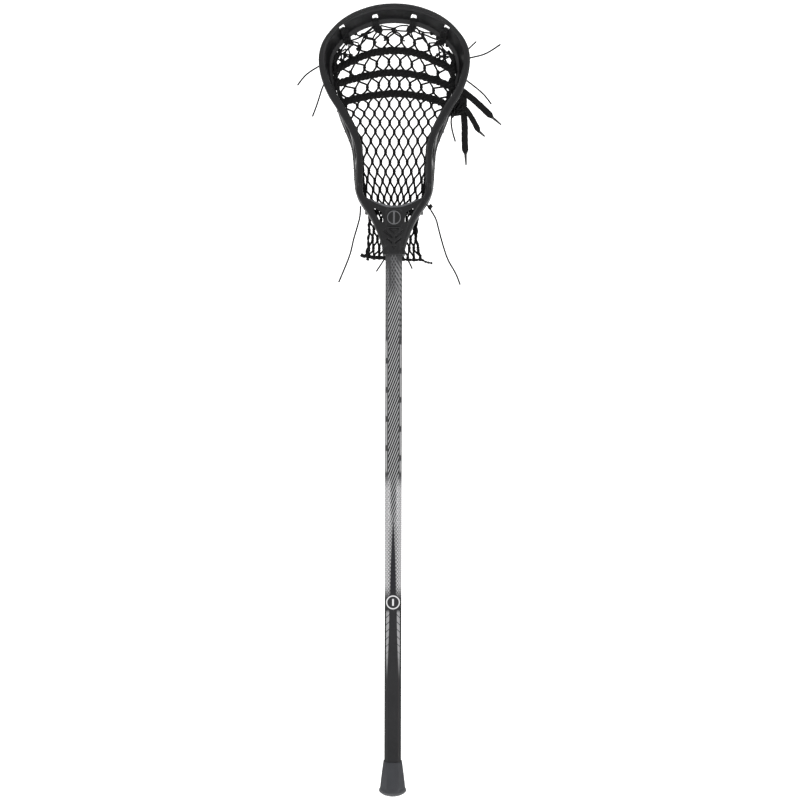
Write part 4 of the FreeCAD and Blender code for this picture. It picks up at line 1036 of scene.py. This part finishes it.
# inner bundles: down from the hole, over the lip, and back up behind it
for sgn in (-1, 1):
    for j, sh in enumerate((-3.9, -1.4, 1.2, 3.8)):
        x0 = sgn * (25.2 + sh * 0.62)
        x1 = sgn * (21.4 + sh * 0.95)
        zj = (0.0, 0.5, 0.3, -0.3)[j]
        tb.add(smooth_path([(x1, 27.5, 1007.5), (x0, 29.4, 1012.0), (x0, 29.2, 1017.5), (x0, 26.0, 1020.6),
                            (x0, 20.0, 1021.2 + zj), (x0, 14.6, 1020.2 + zj), (x0 - sgn * 0.3, 13.6, 1017.0),
                            (x0 - sgn * 1.2, 17.2, 1013.0), (x1, 22.6, 1009.4), (x1 - sgn * 0.6, 25.4, 1006.0)], 1.5),
               1.75, sides=9)
    knot(tb, (sgn * 23.2, 21.2, 1010.6), (0.12 * sgn, 0.5, 1), 3.4, 1.5, 1.5, 3.6, sides=8)
    knot(tb, (sgn * 21.6, 26.2, 1007.2), (1, 0, 0.2 * sgn), 2.5, 1.35, 2.5, 8.0, sides=8)
    # outer bundles: across the inside of the scoop's wall and round its back edge
    for j, sh in enumerate((-3.6, -1.3, 1.1, 3.4)):
        dx, dz = 0.86 * sh, -0.50 * sh * 1.0
        def q(x, y, z, f=1.0):
            return (sgn * (x + dx * f), y, z + dz * f)
        tb.add(smooth_path([q(61.6, 28.6, 991.4), q(62.0, 32.6, 996.0), q(63.0, 33.4, 1000.2, 0.8), q(65.4, 28.0, 1004.4, 0.7),
                            q(67.6, 18.0, 1006.4, 0.6), q(68.9, 9.0, 1007.0, 0.5), q(68.0, 3.0, 1005.4, 0.6),
                            q(66.9, 1.6, 1003.6, 0.8), q(65.2, 9.4, 1001.0), q(63.6, 17.2, 997.4), q(62.8, 22.4, 994.2),
                            q(61.9, 25.4, 990.6)], 1.5), 1.5, sides=9)
    knot(tb, (sgn * 63.0, 20.6, 995.6), (0.2 * sgn, 0.3, 1), 3.4, 1.4, 1.5, 4.0, sides=8)
    knot(tb, (sgn * 61.8, 25.6, 991.0), (1, 0, -0.4 * sgn), 2.6, 1.35, 2.5, 8.0, sides=8)
# the upper corners, where the strings are tied off along the sidewalls
for sgn in (-1, 1):
    for x, z in ((79.6, 975.0), (80.6, 968.0), (80.8, 961.0), (80.0, 954.0), (79.2, 947.0), (78.0, 940.0), (76.6, 933.0),
                 (78.4, 964.0), (77.8, 957.0), (77.0, 950.0), (76.0, 943.0)):
        wob = rng_table[int(z) % 32, 9]
        knot(tb, (sgn * (x + wob[0]), pocket_y(x, z) - 1.0 + wob[1], z), (0.4 * sgn, 0.3, 1), 2.0, 1.25, 2.2, 4.6)
ob = tb.make("top_string_lacing", M_STRING)
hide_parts("top_string")

# ------------------------------------------------------------------ shooting laces
SHOOT = {
    "shooting_lace_upper": [(-71.0, 960.9), (-63.9, 964.7), (-46.8, 973.2), (-31.0, 978.7), (-16.4, 981.6),
                            (1.9, 982.4), (20.2, 980.9), (36.1, 977.2), (50.7, 970.6), (66.6, 962.8), (71.5, 959.7)],
    "shooting_lace_middle": [(-71.0, 939.6), (-58.9, 944.2), (-28.4, 952.0), (-4.2, 954.7), (27.6, 951.8),
                             (53.0, 944.4), (71.0, 936.6)],
    "shooting_lace_lower": [(-65.5, 914.6), (-48.8, 920.8), (-23.3, 926.0), (-0.4, 928.0), (27.6, 925.4),
                            (53.1, 918.8), (65.4, 912.1)],
}
RUN_OUT = {"shooting_lace_upper": 11.0, "shooting_lace_middle": 8.5, "shooting_lace_lower": 7.0}
for nm, pts in SHOOT.items():
    tb = Tubes()
    ends = []
    for (x0, z0), (x1, z1) in ((pts[1], pts[0]), (pts[-2], pts[-1])):
        k = RUN_OUT[nm] / math.hypot(x1 - x0, z1 - z0)
        ends.append((x1 + (x1 - x0) * k, z1 + (z1 - z0) * k))
    pts = [ends[0]] + pts + [ends[1]]
    line = smooth_path([(x, pocket_y(x, z) - 1.6, z) for x, z in pts], 1.3)
    # the lace goes over and under the net's columns as it crosses
    wav = []
    for i, p in enumerate(line):
        wav.append(p + Vector((0, 0.9 * math.sin(p.x * 0.46), 0.25 * math.sin(p.x * 0.9))))
    for ph in (0.0, 2 * math.pi / 3, 4 * math.pi / 3):
        tb.add(helix(wav, 2.75, 0.052, ph, squash=0.62), 2.65, sides=10)
    ob = tb.make(nm + "_band", M_LACE)
    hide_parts(nm)
    if nm.endswith("upper"):
        knots = Tubes()
        # where the three laces are drawn through the right sidewall and tied behind it
        for c, ax_, ring, turns in (((84.0, 46.6, 909.0), (0.7, 0.1, -0.6), 4.6, 2.2),
                                    ((86.0, 48.4, 903.0), (0.2, 0.3, -1.0), 4.4, 2.0),
                                    ((78.0, 46.4, 901.0), (1.0, 0.1, -0.4), 4.2, 2.2),
                                    ((90.0, 49.4, 909.0), (-0.4, 0.2, -1.0), 3.6, 1.8)):
            axis = Vector(ax_).normalized()
            s1 = axis.cross(Vector((0, 1, 0.1))).normalized()
            s2 = axis.cross(s1)
            path = []
            n = int(turns * 14)
            for i in range(n + 1):
                a = 2 * math.pi * turns * i / n
                path.append(Vector(c) + s1 * math.cos(a) * ring + s2 * math.sin(a) * ring * 0.45
                            + axis * (10.0 * (i / n - 0.5)))
            knots.add(path, 1.0, sides=10, flat=(5.4, 2.6), up=tuple(axis))
        for a, b, c in (((84.4, 44.4, 938.0), (88.0, 46.2, 924.0), (86.0, 46.4, 908.0)),
                        ((79.6, 44.6, 924.0), (82.0, 46.8, 914.0), (84.0, 47.4, 903.0)),
                        ((88.0, 46.2, 931.0), (92.6, 47.6, 917.0), (89.0, 48.6, 901.0)),
                        ((71.6, 45.2, 905.0), (78.0, 47.0, 901.0), (90.0, 50.6, 903.0))):
            path = smooth_path([a, b, c], 1.5)
            knots.add(path, 1.0, sides=12, flat=(8.6, 2.4), up=(0, 1, 0))
        for k, n0 in ((10, 0), (11, 0), (13, 0)):
            x, z, yf, yb, wf, off, wb = STATIONS[k]
            ring = [(off - wb - 3.0, yb - 7.0), (off - wb - 2.6, yb - 1.0), (off - wb / 2, yb + 2.0), (off + 1.6, yb + 1.4),
                    (off + 2.4, yb + 3.4)]
            path = smooth_path([rail_point(k, n, y) + Vector((0, 0, -3.0)) for n, y in ring], 1.2)
            knots.add(path, 1.0, sides=12, flat=(7.6, 2.2), up=None)
        kob = knots.make("lace_ties", M_LACE)

# ------------------------------------------------------------------ knots, stubs
tb = Tubes()
for turn, ring in ((2.5, 2.4), (1.6, 1.6)):
    knot(tb, (47.6, 26.0, 774.4), (0.6, 0.2, -1), ring, 1.15, turn, 4.0)
tb.add(smooth_path([(41.6, 25.0, 777.4), (44.6, 25.8, 776.0), (47.6, 26.2, 773.4), (48.6, 26.4, 769.6)], 1.2), 1.1, sides=8)
ob = tb.make("throat_string_knot_wrap", M_STRING)
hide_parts("throat_string_knot")

for nm, a, b, c in (("string_stub_right_top", (90.6, 33.6, 976.6), (99.0, 34.4, 985.2), (108.6, 36.0, 994.6)),
                    ("tail_stub_left", (-12.8, 23.2, 704.6), (-18.0, 23.8, 696.4), (-23.4, 24.4, 688.4)),
                    ("tail_stub_right", (18.8, 23.2, 703.0), (21.6, 23.8, 697.8), (24.2, 24.4, 692.0))):
    tb = Tubes()
    path = smooth_path([a, b, c], 1.2)
    r = [1.05] * (len(path) - 1) + [0.75]
    tb.add(path, r, sides=9)
    ob = tb.make(nm + "_end", M_STRING)
    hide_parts(nm)

# ------------------------------------------------------------------ stage and light
def stage_mesh():
    """A pale floor that curves up into a pale wall, low enough to clear the cap when it is pulled off."""
    prof = [(-6.0, 0.0), (2.2, 0.0)]
    for i in range(1, 13):
        a = math.pi / 2 * i / 12
        prof.append((2.2 + 2.0 * math.sin(a), 2.0 - 2.0 * math.cos(a)))
    prof.append((4.2, 7.0))
    vs, fs = [], []
    for y, z in prof:
        vs += [(-7.0, y, z - 0.0620), (7.0, y, z - 0.0620)]
    for i in range(len(prof) - 1):
        fs.append((2 * i, 2 * i + 1, 2 * i + 3, 2 * i + 2))
    me = bpy.data.meshes.new("stage")
    me.from_pydata(vs, [], fs)
    for poly in me.polygons:
        poly.use_smooth = True
    ob = bpy.data.objects.new("stage", me)
    coll.objects.link(ob)
    m, nt, p = new_mat("stage_paint")
    n = noise(nt, coords(nt), 1.5, 2.0)
    nt.links.new(ramp(nt, n, [(0.0, (0.93, 0.93, 0.93)), (1.0, (0.95, 0.95, 0.95))]), p.inputs["Base Color"])
    p.inputs["Roughness"].default_value = 0.9
    p.inputs["Specular IOR Level"].default_value = 0.1
    p.inputs["Emission Color"].default_value = (1.0, 1.0, 1.0, 1.0)
    p.inputs["Emission Strength"].default_value = 0.50
    me.materials.append(m)


stage_mesh()


def area(name, loc, target, size, power, color=(1, 1, 1)):
    ld = bpy.data.lights.new(name, "AREA")
    ld.shape = "RECTANGLE"
    ld.size, ld.size_y = size
    ld.energy = power
    ld.color = color
    ob = bpy.data.objects.new(name, ld)
    ob.location = loc
    d = Vector(target) - Vector(loc)
    ob.rotation_euler = d.to_track_quat("-Z", "Y").to_euler()
    coll.objects.link(ob)


area("key", (-1.8, -2.3, 2.6), (0, 0, 0.75), (1.2, 1.2), 20)
area("fill", (1.6, -3.2, 0.5), (0, 0, 0.6), (0.9, 0.9), 12)
area("rim", (0.6, 1.6, 2.7), (0, 0, 0.8), (1.6, 1.0), 8)
world = bpy.data.worlds.new("world")
world.use_nodes = True
world.node_tree.nodes["Background"].inputs["Color"].default_value = (1.0, 1.0, 1.0, 1)
world.node_tree.nodes["Background"].inputs["Strength"].default_value = 0.93
scene.world = world
